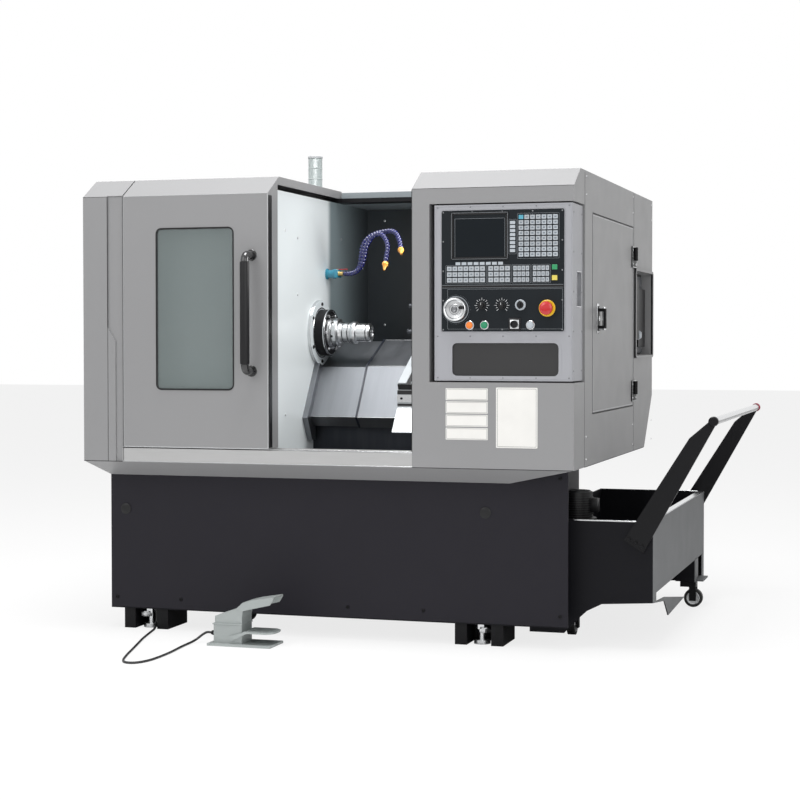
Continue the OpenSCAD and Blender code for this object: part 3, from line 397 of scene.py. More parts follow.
turret_iron = steel("turret_iron", (0.09, 0.095, 0.105), 0.42, (1, 1, 1), 90.0, 0.10, 0.4)
print("steels:", brushed_sheet.name, cover_sheet.name)

# %% [markdown]
# Mouldings and rubber are simple, but never perfectly even: a fine grain in the bump and a
# little drift in the gloss keep them from looking like plastic in a drawing.

# %% mouldings and rubber
def moulded(name, colour, rough=0.4, grain=0.05, grain_scale=900, glow=0.0, coat=0.0, gleam=0.5):
    material, tree, shader = finish(name)
    where = place_wire(tree)
    drift = noise(tree, where, 14.0, 4.0)
    feed(tree, shader.inputs["Base Color"], mixed(tree, drift, rgb(colour, 0.93), rgb(colour, 1.06)))
    feed(tree, shader.inputs["Roughness"], drift * 0.12 + (rough - 0.06))
    shader.inputs["Coat Weight"].default_value = coat
    shader.inputs["Specular IOR Level"].default_value = gleam
    bump = make_node(tree, "Bump", {}, {"Height": noise(tree, where, grain_scale, 2.0),
        "Strength": grain, "Distance": 0.0004})
    feed(tree, shader.inputs["Normal"], bump)
    if glow:
        shader.inputs["Emission Color"].default_value = rgb(colour)
        shader.inputs["Emission Strength"].default_value = glow
    return material


black_moulding = moulded("black_moulding", (0.009, 0.009, 0.010), 0.36, 0.10, 1400, gleam=0.3)
fascia_film = moulded("fascia_film", (0.010, 0.013, 0.016), 0.45, 0.10, 1100, gleam=0.16)
screen_glass = moulded("screen_glass", (0.006, 0.009, 0.012), 0.22, 0.0, 900, gleam=0.14)
smoked_window = moulded("smoked_window", (0.045, 0.045, 0.046), 0.16, 0.0, 900, gleam=0.25)
red_cap = moulded("red_cap", (0.55, 0.012, 0.016), 0.26, 0.03, 500, 0.0, 0.5)
yellow_ring = moulded("yellow_ring", (0.86, 0.52, 0.02), 0.34)
orange_tip = moulded("orange_tip", (0.82, 0.38, 0.06), 0.34)
green_lens = moulded("green_lens", (0.01, 0.22, 0.10), 0.22, 0.02, 500, 0.15, 0.6)
amber_lens = moulded("amber_lens", (0.80, 0.20, 0.02), 0.22, 0.02, 500, 0.15, 0.6)
white_key = moulded("white_key", (0.46, 0.50, 0.54), 0.36)
blue_key = moulded("blue_key", (0.10, 0.38, 0.50), 0.36)
grey_key = moulded("grey_key", (0.20, 0.23, 0.26), 0.40)
green_key = moulded("green_key", (0.03, 0.30, 0.12), 0.36)
yellow_key = moulded("yellow_key", (0.75, 0.62, 0.12), 0.36)
key_rim = moulded("key_rim", (0.42, 0.45, 0.48), 0.38)
line_print = moulded("line_print", (0.24, 0.26, 0.28), 0.45)
wiper_rubber = moulded("wiper_rubber", (0.008, 0.012, 0.022), 0.40, 0.12, 800)
gloss_black = moulded("gloss_black", (0.012, 0.012, 0.013), 0.16, 0.02, 900, 0.0, 0.6)
print_white = moulded("print_white", (0.74, 0.75, 0.76), 0.5)
plate_white = moulded("plate_white", (0.84, 0.83, 0.80), 0.42, 0.04, 300)
hose_blue = moulded("hose_blue", (0.006, 0.008, 0.11), 0.16, 0.02, 500, 0.0, 0.7)
manifold_teal = moulded("manifold_teal", (0.04, 0.28, 0.40), 0.26, 0.02, 500, 0.0, 0.4)
tyre_rubber = moulded("tyre_rubber", (0.012, 0.012, 0.012), 0.62, 0.3, 500)
cord_rubber = moulded("cord_rubber", (0.010, 0.010, 0.011), 0.48, 0.2, 700)
crimson_grip = moulded("crimson_grip", (0.28, 0.006, 0.03), 0.34)
lamp_lens = moulded("lamp_lens", (0.50, 0.55, 0.54), 0.16, 0.02, 500, 0.0, 0.6)
print("mouldings made")

# %% [markdown]
# The door window is a tinted sheet. From the front it is half mirror, half view of the pale
# headstock housing behind it. A mix of glass tint and gloss with partial transparency gives
# that in one shader, and the collision solid behind it stays as it is.

# %% window glass
def tinted_glass(name, colour, alpha, rough):
    material, tree, shader = finish(name)
    where = place_wire(tree)
    haze = noise(tree, where, 4.0, 3.0)
    feed(tree, shader.inputs["Base Color"], mixed(tree, haze, rgb(colour, 0.94), rgb(colour, 1.04)))
    feed(tree, shader.inputs["Roughness"], haze * 0.06 + rough)
    feed(tree, shader.inputs["Alpha"], haze * 0.10 + alpha)
    shader.inputs["Coat Weight"].default_value = 1.0
    return material


door_glass = tinted_glass("door_glass", (0.19, 0.235, 0.232), 0.46, 0.04)

# %% floor and cord finish
floor_material, floor_tree, floor_shader = finish("studio_floor")
floor_where = place_wire(floor_tree)
feed(floor_tree, floor_shader.inputs["Base Color"], mixed(floor_tree, noise(floor_tree, floor_where, 0.7),
    (0.95, 0.95, 0.95, 1), (0.98, 0.98, 0.98, 1)))
floor_shader.inputs["Roughness"].default_value = 0.8
floor_path = floor_tree.nodes.new("ShaderNodeLightPath")
floor_seen = Wire(floor_tree, floor_path.outputs["Is Camera Ray"])
floor_glow = make_node(floor_tree, "Emission", {}, {"Color": WHITE, "Strength": 1.0})
floor_mix = make_node(floor_tree, "MixShader", {}, {0: floor_seen * 0.80,
    1: Wire(floor_tree, floor_shader.outputs["BSDF"]), 2: floor_glow})
floor_output = next(n for n in floor_tree.nodes if n.type == "OUTPUT_MATERIAL")
feed(floor_tree, floor_output.inputs["Surface"], floor_mix)
floor.data.materials.append(floor_material)
pedal_lead.data.materials.append(cord_rubber)

# %% [markdown]
# Each carried-over node now takes its finish. A node keeps its mesh; only its material slot is
# filled.

# %% finishes on the frame
node_finish = {
    enclosure_coat: ["left_end_housing", "rear_housing", "right_front_housing", "right_side_housing",
        "right_roof", "floor_pan", "door_hood", "cabinet_door"],
    box_coat: ["control_box"],
    work_area_coat: ["headstock_housing", "spindle_cover_ring"],
    beam_coat: ["top_beam"],
    wall_coat: ["headstock_wall"],
    base_coat: ["base_casting", "front_apron"],
    black_coat: ["levelling_feet", "door_top_rail", "hinge_pins", "cabinet_door_hardware",
        "cart_handle", "spindle_flange", "side_port", "front_caster", "rear_caster"],
    cart_coat: ["chip_cart"],
    shaded_back_wall_coat: ["back_wall"],
    pedal_coat: ["pedal_housing", "pedal_treadle", "pedal_gland"],
    brushed_sheet: ["sill"],
    slide_sheet: ["cross_slide"],
    cover_sheet: ["fixed_covers", "left_middle_cover", "right_middle_cover", "left_moving_cover",
        "right_moving_cover", "way_end_plate"],
    bed_iron: ["slant_bed", "carriage"],
    turret_iron: ["turret_body", "turret_disc"],
    chuck_steel: ["collet_chuck", "levelling_bolts"],
    bright_steel: ["handwheel"],
    black_moulding: ["door_handle", "left_dial", "right_dial", "coolant_pump", "cord_entry"],
    fascia_film: ["operator_panel"],
    white_key: ["panel_buttons"],
    red_cap: ["emergency_stop"],
    hose_blue: ["coolant_hoses"],
    manifold_teal: ["coolant_manifold"],
    tyre_rubber: ["tank_wheels", "front_caster_wheel", "rear_caster_wheel"],
    lamp_lens: ["tower_light"],
    door_glass: ["door_window"],
}
for material, names in node_finish.items():
    for name in names:
        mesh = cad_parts[name].data
        mesh.materials.clear()
        mesh.materials.append(material)
dressed = {name for names in node_finish.values() for name in names}
print("undressed nodes:", sorted(set(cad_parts) - dressed))

# %% [markdown]
# All added pieces come from four small helpers. slab is a block with eased edges, sheet is a
# plate with round corners that may be only a rim, turned is a lathe profile spun round an axis,
# and finish_piece closes the seams, turns the faces outwards and hangs the mesh on its body.

# %% piece helpers
FRONT = Matrix(((1, 0, 0), (0, 0, -1), (0, 1, 0))).to_4x4()
BACK = Matrix(((-1, 0, 0), (0, 0, 1), (0, 1, 0))).to_4x4()
RIGHT = Matrix(((0, 0, 1), (1, 0, 0), (0, 1, 0))).to_4x4()
LEFT = Matrix(((0, 0, -1), (-1, 0, 0), (0, 1, 0))).to_4x4()
UP = Matrix.Identity(4)
SLOPE = Matrix.Rotation(math.radians(30), 4, "X")


def outward(facing):
    return (facing @ Vector((0, 0, 1, 0))).xyz


def finish_piece(name, bm, materials, body, sharp=35):
    """Close the seams, point the faces outwards and hang the mesh on its body."""
    bmesh.ops.remove_doubles(bm, verts=bm.verts, dist=0.00001)
    bmesh.ops.recalc_face_normals(bm, faces=bm.faces)
    mesh = bpy.data.meshes.new(name)
    bm.to_mesh(mesh)
    bm.free()
    mesh.polygons.foreach_set("use_smooth", [True] * len(mesh.polygons))
    mesh.set_sharp_from_angle(angle=math.radians(sharp))
    for material in materials if isinstance(materials, (list, tuple)) else [materials]:
        mesh.materials.append(material)
    piece = bpy.data.objects.new(name, mesh)
    bpy.context.scene.collection.objects.link(piece)
    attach(piece, body)
    return piece


def slab(bm, xs, ys, zs, soft=0.8, segments=1, tint=0):
    """A block between drawing millimetres, its edges eased by soft millimetres."""
    before = set(bm.faces)
    low, high = at(xs[0], ys[0], zs[0]), at(xs[1], ys[1], zs[1])
    place = Matrix.Translation((low + high) / 2) @ Matrix.Diagonal((*(high - low), 1))
    made = bmesh.ops.create_cube(bm, size=1, matrix=place)
    if soft:
        edges = list({e for v in made["verts"] for e in v.link_edges})
        bmesh.ops.bevel(bm, geom=edges, offset=soft * MM, offset_type="OFFSET", affect="EDGES",
            segments=segments, profile=0.5, material=-1)
    for face in set(bm.faces) - before:
        face.material_index = tint


def sheet(bm, facing, centre, width, height, thick, corner=0, ring=0, tint=0):
    """A plate of width by height millimetres standing thick off the surface at centre."""
    before = set(bm.faces)
    place = Matrix.Translation(centre) @ facing @ Matrix.Diagonal((width * MM, height * MM, 1, 1))
    made = bmesh.ops.create_grid(bm, x_segments=1, y_segments=1, size=0.5, matrix=place)
    if corner:
        bmesh.ops.bevel(bm, geom=made["verts"], offset=corner * MM, offset_type="OFFSET",
            affect="VERTICES", segments=4, profile=0.5, material=-1)
    faces = [f for f in bm.faces if f not in before]
    if ring:
        rim = bmesh.ops.inset_region(bm, faces=faces, thickness=ring * MM, use_boundary=True,
            use_even_offset=True)["faces"]
        bmesh.ops.delete(bm, geom=[f for f in bm.faces if f not in before and f not in rim], context="FACES")
        faces = rim
    grown = bmesh.ops.extrude_face_region(bm, geom=faces)["geom"]
    bmesh.ops.translate(bm, verts=[v for v in grown if isinstance(v, bmesh.types.BMVert)],
        vec=outward(facing) * thick * MM)
    for face in set(bm.faces) - before:
        face.material_index = tint


def turned(bm, centre, axis, outline, steps=32, tint=0):
    """A lathe profile of (radius, along) millimetres, spun round an axis through centre."""
    before = set(bm.faces)
    axis = Vector(axis).normalized()
    side = axis.orthogonal().normalized()
    points = [bm.verts.new(centre + side * (r * MM) + axis * (h * MM)) for r, h in outline]
    edges = [bm.edges.new(pair) for pair in zip(points, points[1:])]
    bmesh.ops.spin(bm, geom=points + edges, cent=centre, axis=axis, angle=math.tau, steps=steps,
        use_merge=True)
    for face in set(bm.faces) - before:
        face.material_index = tint


def socket_screw(bm, centre, axis, radius, tall=None, steps=12):
    """A cap screw's head: a low cylinder with an eased rim and a socket sunk in it."""
    tall = tall or radius * 0.7
    turned(bm, centre, axis, [(radius, -0.2), (radius, tall * 0.75), (radius * 0.82, tall),
        (radius * 0.5, tall), (radius * 0.42, tall * 0.45), (0, tall * 0.4)], steps)


def button_screw(bm, centre, axis, radius, steps=12):
    """A panel screw's low domed head."""
    turned(bm, centre, axis, [(radius, -0.1), (radius * 0.92, radius * 0.25), (radius * 0.55, radius * 0.42),
        (radius * 0.3, radius * 0.42), (0, radius * 0.2)], steps)


def spread(first, last, count):
    """Evenly spaced numbers from first to last."""
    return [first + (last - first) * i / max(count - 1, 1) for i in range(count)]


print("helpers ready")

# %% [markdown]
# The control box is hung like a lamp on two pins, so everything on its face rides with it. Its
# face is one film over a sheet: a screen in a sunk bezel, key blocks, and a lower strip with the
# turning controls. The film's own corner is the drawing's zero for all of it.

# %% fascia places
FASCIA_X, FASCIA_Y, FASCIA_Z = 430, -3, 1048


def on_face(u, w, lift=0):
    """A point of the fascia: u to the right, w up, from its lower left corner."""
    return at(FASCIA_X + u, FASCIA_Y - lift, FASCIA_Z + w)


def key(bm, u, w, wide, high, rise=1.8, rim=1.5, tint=0, centre_tint=None):
    """A key cap with a flat rim and a slightly sunk middle, u and w at its middle."""
    before = set(bm.faces)
    slab(bm, (FASCIA_X + u - wide / 2, FASCIA_X + u + wide / 2), (FASCIA_Y - rise, FASCIA_Y + 0.2),
        (FASCIA_Z + w - high / 2, FASCIA_Z + w + high / 2), 0.5, 1, tint)
    if centre_tint is not None:
        front = min((f for f in bm.faces if f not in before), key=lambda f: f.calc_center_median().y)
        bmesh.ops.inset_region(bm, faces=[front], thickness=rim * MM, depth=-0.25 * MM,
            use_boundary=True, use_even_offset=True)
        front.material_index = centre_tint


# %% [markdown]
# The bezel is a raised frame and the screen a sheet of coated glass inside it. Thin light lines
# run round both, as the print on such a film does, so the dark face doesn't read as one slab.

# %% screen
bezel = bmesh.new()
sheet(bezel, FRONT, on_face(128, 309.5), 193.5, 155, 2.4, 5, 9)
finish_piece("screen_bezel", bezel, black_moulding, "control_box")
lines = bmesh.new()
sheet(lines, FRONT, on_face(128, 309.5, 2.3), 189, 150.5, 0.5, 4, 0.9)
sheet(lines, FRONT, on_face(129, 301, 0.7), 168, 130, 0.5, 2, 0.8)
for u, w, wide, high in ((238.5, 305, 25, 112), (323.3, 307, 138, 146), (82.5, 185, 138, 60), (194, 185, 80, 60),
        (267.5, 185, 62, 60), (332.8, 185, 62, 60), (212, 72, 384, 130)):
    sheet(lines, FRONT, on_face(u, w), wide, high, 0.35, 2.5, 0.7)
sheet(lines, FRONT, on_face(204, 150), 404, 1.2, 0.5)
sheet(lines, FRONT, on_face(204, 141), 404, 0.9, 0.5)
finish_piece("fascia_lines", lines, line_print, "control_box")
screen = bmesh.new()
sheet(screen, FRONT, on_face(129, 301), 164, 126, 0.9, 1.5)
finish_piece("screen", screen, screen_glass, "control_box")
seam = bmesh.new()
sheet(seam, FRONT, on_face(204, 145.5), 406, 8, 0.5)
finish_piece("fascia_seam", seam, black_moulding, "control_box")
print("screen and lines on the fascia")

# %% [markdown]
# Over a hundred keys share one recipe: a block with eased edges, and a middle sunk by a quarter
# of a millimetre in its own colour. Each block of keys is one mesh, so the table stays short.

# %% keys
keys = bmesh.new()
RIM, DARK, PALE, BLUE, GREEN, YELLOW = range(6)
for w in spread(260, 350.5, 8):
    key(keys, 238.5, w, 17.5, 9.6, 1.8, 1.2, PALE, PALE)
for row, w in enumerate(spread(247, 367.5, 8)):
    for column, u in enumerate(spread(266.5, 380, 7)):
        pale = row < 2 or (column > 3 and row > 3)
        rim = BLUE if (row, column) == (7, 0) else PALE if pale else RIM
        key(keys, u, w, 15.4, 13.4, 1.8, 3.4, rim, BLUE if rim == BLUE else DARK)
for u in spread(55.5, 198.5, 8):
    key(keys, u, 220, 16, 9.2, 1.6, 1.1, PALE, PALE)
for low, high, count, wide in ((26.5, 138.5, 7, 16.2), (166, 222, 4, 16), (247, 288, 4, 11.6), (312, 353.5, 4, 11.6)):
    for w in (166.3, 184.9, 203.5):
        for u in spread(low, high, count):
            key(keys, u, w, wide, 14.6, 1.8, 4.2 if wide > 12 else 3.2, RIM, DARK)
key(keys, 377.5, 206, 17.5, 16, 2.2, 2, GREEN, GREEN)
key(keys, 377.5, 171.5, 17.5, 16, 2.2, 2, YELLOW, YELLOW)
finish_piece("fascia_keys", keys, [key_rim, grey_key, white_key, blue_key, green_key, yellow_key],
    "control_box")
print("keys on the fascia")

# %% [markdown]
# A handwheel for jogging is turned from bar: a milled rim, a dished face and a hub in a darker
# tone, with a crank knob near the rim. It turns, so it is a piece of its own body
# and stands in for the plain disc of the frame.

# %% handwheel
wheel_low, wheel_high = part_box("handwheel")
WHEEL = at(479, -4, 1119)
wheel = bmesh.new()
turned(wheel, WHEEL, (0, -1, 0), [(0, -22), (5, -22), (5, 2), (34, 2), (37.5, 3.5), (38.5, 6), (38.5, 17),
    (37.2, 19.5), (34.5, 20.5), (31.5, 19.2), (29, 15), (19, 13.6), (17.5, 14.6), (17.5, 20), (16, 21.5),
    (11, 21.5), (9.5, 20), (0, 20)], 64)
for i in range(48):
    spoke = Matrix.Rotation(math.tau * i / 48, 4, "Y")
    bmesh.ops.create_cube(wheel, size=1, matrix=Matrix.Translation(WHEEL + Vector((0, -0.0115, 0)))
        @ spoke @ Matrix.Translation((0.0384, 0, 0)) @ Matrix.Diagonal((0.0010, 0.0095, 0.0016, 1)))
jog_wheel = finish_piece("jog_wheel", wheel, bright_steel, "handwheel")
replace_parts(jog_wheel, "handwheel")
hub = bmesh.new()
turned(hub, WHEEL, (0, -1, 0), [(9.3, 20.0), (9.3, 22.6), (8.4, 23.4), (4, 23.4), (3, 22.8), (0, 22.8)], 32)
turned(hub, WHEEL, (0, -1, 0), [(16.8, 21.2), (16.4, 22), (14.8, 22), (14.4, 21.2)], 48)
finish_piece("jog_wheel_hub", hub, turned_grey, "handwheel")
knob = bmesh.new()
turned(knob, WHEEL + Vector((0.0245, 0, 0.006)), (0, -1, 0), [(3.4, 14), (3.4, 19), (5.4, 21), (6.4, 27),
    (6.2, 35), (5.2, 39), (3, 41), (0, 41)], 20)
finish_piece("jog_wheel_knob", knob, black_moulding, "handwheel")
ring = bmesh.new()
turned(ring, WHEEL, (0, -1, 0), [(43.5, 0.9), (43.5, 2.2), (41.5, 2.8), (40, 2.2), (40, 0.9)], 64)
for i in range(60):
    tick = Matrix.Rotation(math.tau * i / 60, 4, "Y")
    long = 3.4 if i % 5 == 0 else 2.0
    bmesh.ops.create_cube(ring, size=1, matrix=Matrix.Translation(on_face(49, 71, 0.2)) @ tick
        @ Matrix.Translation((0.0462 + long * 0.0005, 0, 0)) @ Matrix.Diagonal((long * MM, 0.0005, 0.0005, 1)))
finish_piece("jog_wheel_scale", ring, line_print, "control_box")
print("handwheel radius", round((wheel_high[0] - wheel_low[0]) * 500, 1), "mm")

# %% [markdown]
# The two dials are fluted knobs with a white pointer, each over a printed fan of ticks. The ticks
# belong to the film and stay still; the knob and its pointer turn.

# %% dials
for name, x in (("left_dial", 566), ("right_dial", 633)):
    centre = at(x, FASCIA_Y, 1132)
    cap = bmesh.new()
    turned(cap, centre, (0, -1, 0), [(0, -15), (4, -15), (4, 0.6), (12.4, 0.6), (12.4, 3), (10.4, 4.2),
        (9.8, 13.5), (8.6, 15.2), (0, 15.2)], 36)
    for i in range(14):
        flute = Matrix.Rotation(math.tau * i / 14, 4, "Y")
        bmesh.ops.create_cube(cap, size=1, matrix=Matrix.Translation(centre + Vector((0, -0.0085, 0))) @ flute
            @ Matrix.Translation((0.0099, 0, 0)) @ Matrix.Diagonal((0.0014, 0.0085, 0.0020, 1)))
    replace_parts(finish_piece(name + "_knob", cap, black_moulding, name), name)
    mark = bmesh.new()
    slab(mark, (x - 0.8, x + 0.8), (FASCIA_Y - 15.7, FASCIA_Y - 14.8), (1133, 1140.4), 0.2)
    finish_piece(name + "_pointer", mark, print_white, name)
    fan = bmesh.new()
    for i in range(13):
        turn = Matrix.Rotation(math.radians(-135 + 22.5 * i), 4, "Y")
        long = 8 if i % 2 == 0 else 5
        bmesh.ops.create_cube(fan, size=1, matrix=Matrix.Translation(on_face(x - FASCIA_X, 84, 0.2)) @ turn
            @ Matrix.Translation((0, 0, 0.0165 + long * 0.0005)) @ Matrix.Diagonal((0.0012, 0.0006, long * MM, 1)))
    finish_piece(name + "_ticks", fan, print_white, "control_box")
print("two dials with 13 ticks each")

# %% [markdown]
# An emergency stop is told by its red mushroom on a yellow ring. The mushroom moves inwards; the
# ring, with the two turning arrows moulded in the cap left plain, stays on the box.

# %% emergency stop
STOP = at(783, FASCIA_Y, 1122)
mushroom = bmesh.new()
turned(mushroom, STOP, (0, -1, 0), [(0, -15), (8, -15), (8, 8), (12, 9.5), (19.5, 11.5), (21.6, 14.5),
    (22, 18), (21, 22), (17, 24.6), (10, 25.8), (0, 26)], 48)
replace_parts(finish_piece("stop_mushroom", mushroom, red_cap, "emergency_stop"), "emergency_stop")
collar = bmesh.new()
turned(collar, STOP, (0, -1, 0), [(8.6, 0.1), (27, 0.1), (27, 1.8), (25.5, 3.0), (13, 3.0), (12.2, 1.8),
    (8.6, 1.8)], 48)
finish_piece("stop_ring", collar, yellow_ring, "control_box")
print("stop button made")

# %% [markdown]
# Round push buttons have a bright ring and a domed coloured cap; the selector is a white ring
# with a black lever across it. They stand in for the plain discs of the frame.

# %% buttons
buttons = bmesh.new()
BRIGHT, AMBER, LEAF, MILK, BLACK = range(5)
for u, w, r, tint in ((95.3, 19.5, 15, AMBER), (145, 20, 15, LEAF), (298, 20, 15, MILK)):
    turned(buttons, on_face(u, w), (0, -1, 0), [(r, 0), (r, 4), (r - 1.6, 5.6), (r - 3.4, 5.6), (r - 3.8, 3)], 32)
    turned(buttons, on_face(u, w), (0, -1, 0), [(r - 3.9, 2), (r - 3.9, 8), (r - 5.4, 10), (0, 10.8)], 32, tint)
turned(buttons, on_face(265, 85), (0, -1, 0), [(17.5, 0), (17.5, 3.5), (15.8, 5.2), (11.4, 5.2), (11, 2)], 32, MILK)
turned(buttons, on_face(265, 85), (0, -1, 0), [(11.2, 1), (11.2, 9), (9.8, 10.6), (0, 10.6)], 28, BLACK)
slab(buttons, (692.4, 697.6), (FASCIA_Y - 18, FASCIA_Y - 9), (1120, 1146), 1.2, 2, BLACK)
slab(buttons, (656, 696), (FASCIA_Y - 3, FASCIA_Y), (1050, 1091), 1.4, 2, BLACK)
slab(buttons, (661, 691), (FASCIA_Y - 6, FASCIA_Y - 2.6), (1056, 1085), 1.6, 2, BRIGHT)
turned(buttons, at(676, FASCIA_Y - 6, 1070.5), (0, -1, 0), [(12.5, 0), (12.5, 5), (11, 6.4), (9.6, 6.4),
    (9.2, 1.6), (0, 1.6)], 28, BLACK)
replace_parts(finish_piece("push_buttons", buttons, [bright_steel, amber_lens, green_lens, white_key, black_moulding],
    "control_box"), "panel_buttons")
fascia_screws = bmesh.new()
for u in (5.5, 103, 204, 305, 402.5):
    for w in (5.5, 386.5):
        button_screw(fascia_screws, on_face(u, w), (0, -1, 0), 2.6)
for w in (100, 196, 292):
    for u in (5.5, 402.5):
        button_screw(fascia_screws, on_face(u, w), (0, -1, 0), 2.6)
finish_piece("fascia_screws", fascia_screws, turned_grey, "control_box")
print("buttons and screws on the fascia")

# %% [markdown]
# The control box is folded from sheet, so its front shows a thin frame round the film and round
# the recess below it. A smoked window closes the recess. The grip on the right edge is a bright
# pocket plate. The dark gap to the enclosure is only air.

# %% control box trim
box_trim = bmesh.new()
sheet(box_trim, FRONT, at(634, 0, 1244), 416, 400, 1.2, 3, 3.2)
sheet(box_trim, FRONT, at(635, 0, 1173), 454, 566, 0.7, 4, 2)
finish_piece("control_box_trim", box_trim, box_coat, "control_box")
box_window = bmesh.new()
sheet(box_window, FRONT, at(642.5, 5.9, 956.5), 354, 106, 1.6, 2)
finish_piece("control_box_window", box_window, smoked_window, "control_box")
window_frame = bmesh.new()
sheet(window_frame, FRONT, at(642.5, 0.1, 956.5), 375, 127, 0.7, 26, 10)
finish_piece("control_box_window_frame", window_frame, box_coat, "control_box")
box_screws = bmesh.new()
for x in (416, 526, 636, 746, 854):
    for z in (897, 1032, 1451):
        button_screw(box_screws, at(x, 0, z), (0, -1, 0), 2.8)
for z in spread(920, 1430, 5):
    for y in (18, 142):
        button_screw(box_screws, at(865, y, z), (1, 0, 0), 3.2)
finish_piece("control_box_screws", box_screws, turned_grey, "control_box")
grip = bmesh.new()
sheet(grip, RIGHT, at(865, 97.5, 1185), 71, 116, 1.4, 6, 2.4)
finish_piece("control_box_grip", grip, bright_steel, "control_box")
pocket = bmesh.new()
sheet(pocket, RIGHT, at(845.2, 97.5, 1185), 64, 109, 0.8)
finish_piece("control_box_pocket", pocket, gap_black, "control_box")
box_back = bmesh.new()
sheet(box_back, BACK, at(640, 158, 1250), 360, 300, 2, 6)
sheet(box_back, BACK, at(640, 158, 980), 360, 120, 2, 6)
finish_piece("control_box_back_plates", box_back, enclosure_coat, "control_box")
back_screws = bmesh.new()
for x in (470, 640, 810):
    for z in (928, 1032, 1110, 1390):
        button_screw(back_screws, at(x, 160, z), (0, 1, 0), 3.6)
turned(back_screws, at(450, 158, 1180), (0, 1, 0), [(15, 0), (15, 5), (12, 7), (12, 16), (9, 19), (0, 19)], 20)
finish_piece("control_box_back_screws", back_screws, bright_steel, "control_box")
print("control box trimmed")

# %% [markdown]
# The hood door is one bent sheet. What tells it from a block is its edges: a dark rubber frame
# round the glass, a folded seam where the slope starts, and a fine gap at each side. The pale
# strips along the fold, the sides and the foot are painted highlights, the light these edges catch.
# The pull is a black tube that turns back into the door through two bright elbows.

# %% door
window_trim = bmesh.new()
sheet(window_trim, FRONT, at(-449, 0, 1126), 289, 555, 1.8, 20, 4)
finish_piece("door_window_rubber", window_trim, black_moulding, "door")
window_inner = bmesh.new()
sheet(window_inner, FRONT, at(-449, 3.2, 1126), 286, 552, 1.2, 18, 4)
finish_piece("door_window_border", window_inner, smoked_window, "door")
clips = bmesh.new()
sheet(clips, BACK, at(-449, 8, 1126), 318, 584, 2, 24, 16)
finish_piece("door_window_clamp", clips, brushed_sheet, "door")
clamp_screws = bmesh.new()
for x in (-600, -525, -449, -373, -298):
    for z in (842, 1410):
        button_screw(clamp_screws, at(x, 9.8, z), (0, 1, 0), 3.5)
for z in spread(930, 1320, 5):
    for x in (-600, -298):
        button_screw(clamp_screws, at(x, 9.8, z), (0, 1, 0), 3.5)
finish_piece("door_clamp_screws", clamp_screws, bright_steel, "door")
pull = bmesh.new()
turned(pull, at(-240, -60, 938), (0, 0, 1), [(12, 0), (15.4, 1.5), (16, 5), (16, 340), (15.4, 343.5), (12, 345)], 28)
door_pull = finish_piece("door_pull", pull, black_moulding, "door")
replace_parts(door_pull, "door_handle")
elbows = bmesh.new()
for z, way in ((938, -1), (1283, 1)):
    ring_start = bmesh.ops.create_circle(elbows, cap_ends=False, segments=24, radius=13.2 * MM,
        matrix=Matrix.Translation(at(-240, -60, z)))
    rim = list({e for v in ring_start["verts"] for e in v.link_edges})
    last = bmesh.ops.spin(elbows, geom=rim + ring_start["verts"], cent=at(-240, -37, z), axis=(1, 0, 0),
        angle=-way * math.pi / 2, steps=8)["geom_last"]
    legs = bmesh.ops.extrude_edge_only(elbows, edges=[g for g in last if isinstance(g, bmesh.types.BMEdge)])["geom"]
    bmesh.ops.translate(elbows, verts=[g for g in legs if isinstance(g, bmesh.types.BMVert)], vec=(0, 0.037, 0))
    turned(elbows, at(-240, 0, z + way * 23), (0, -1, 0), [(13.4, 3.4), (18, 3.2), (19.5, 2), (19.5, 0)], 28)
finish_piece("door_pull_elbows", elbows, gloss_black, "door")
door_edge_highlights = bmesh.new()
# painted highlights: pale strips on the fold at the top, the foot and both sides of the door
slab(door_edge_highlights, (-716, -181), (-0.5, 0.2), (1513.6, 1515), 0.2)
slab(door_edge_highlights, (-716, -181), (-0.6, 0.4), (652, 654), 0.3)
slab(door_edge_highlights, (-717.4, -716.2), (-0.5, 2), (654, 1514), 0.2)
slab(door_edge_highlights, (-182.6, -180), (-1.6, 2), (654, 1514), 0.5)
finish_piece("door_fold_highlights", door_edge_highlights, pale_and_highlight_coat, "door")
edge_rubber = bmesh.new()
slab(edge_rubber, (-180.6, -177.4), (4, 30), (656, 1508), 0.8)
finish_piece("door_edge_rubber", edge_rubber, black_moulding, "door")
hood_screws = bmesh.new()
for x in spread(-690, -210, 5):
    for y in (130, 270):
        button_screw(hood_screws, at(x, y, 1578), (0, 0, 1), 4)
finish_piece("door_hood_screws", hood_screws, enclosure_coat, "door")
print("door dressed")

# %% [markdown]
# Sheet housings are bolted together, and the joints show as fine dark lines. A line is modelled
# as a thin strip of shadow gap filler on the face.

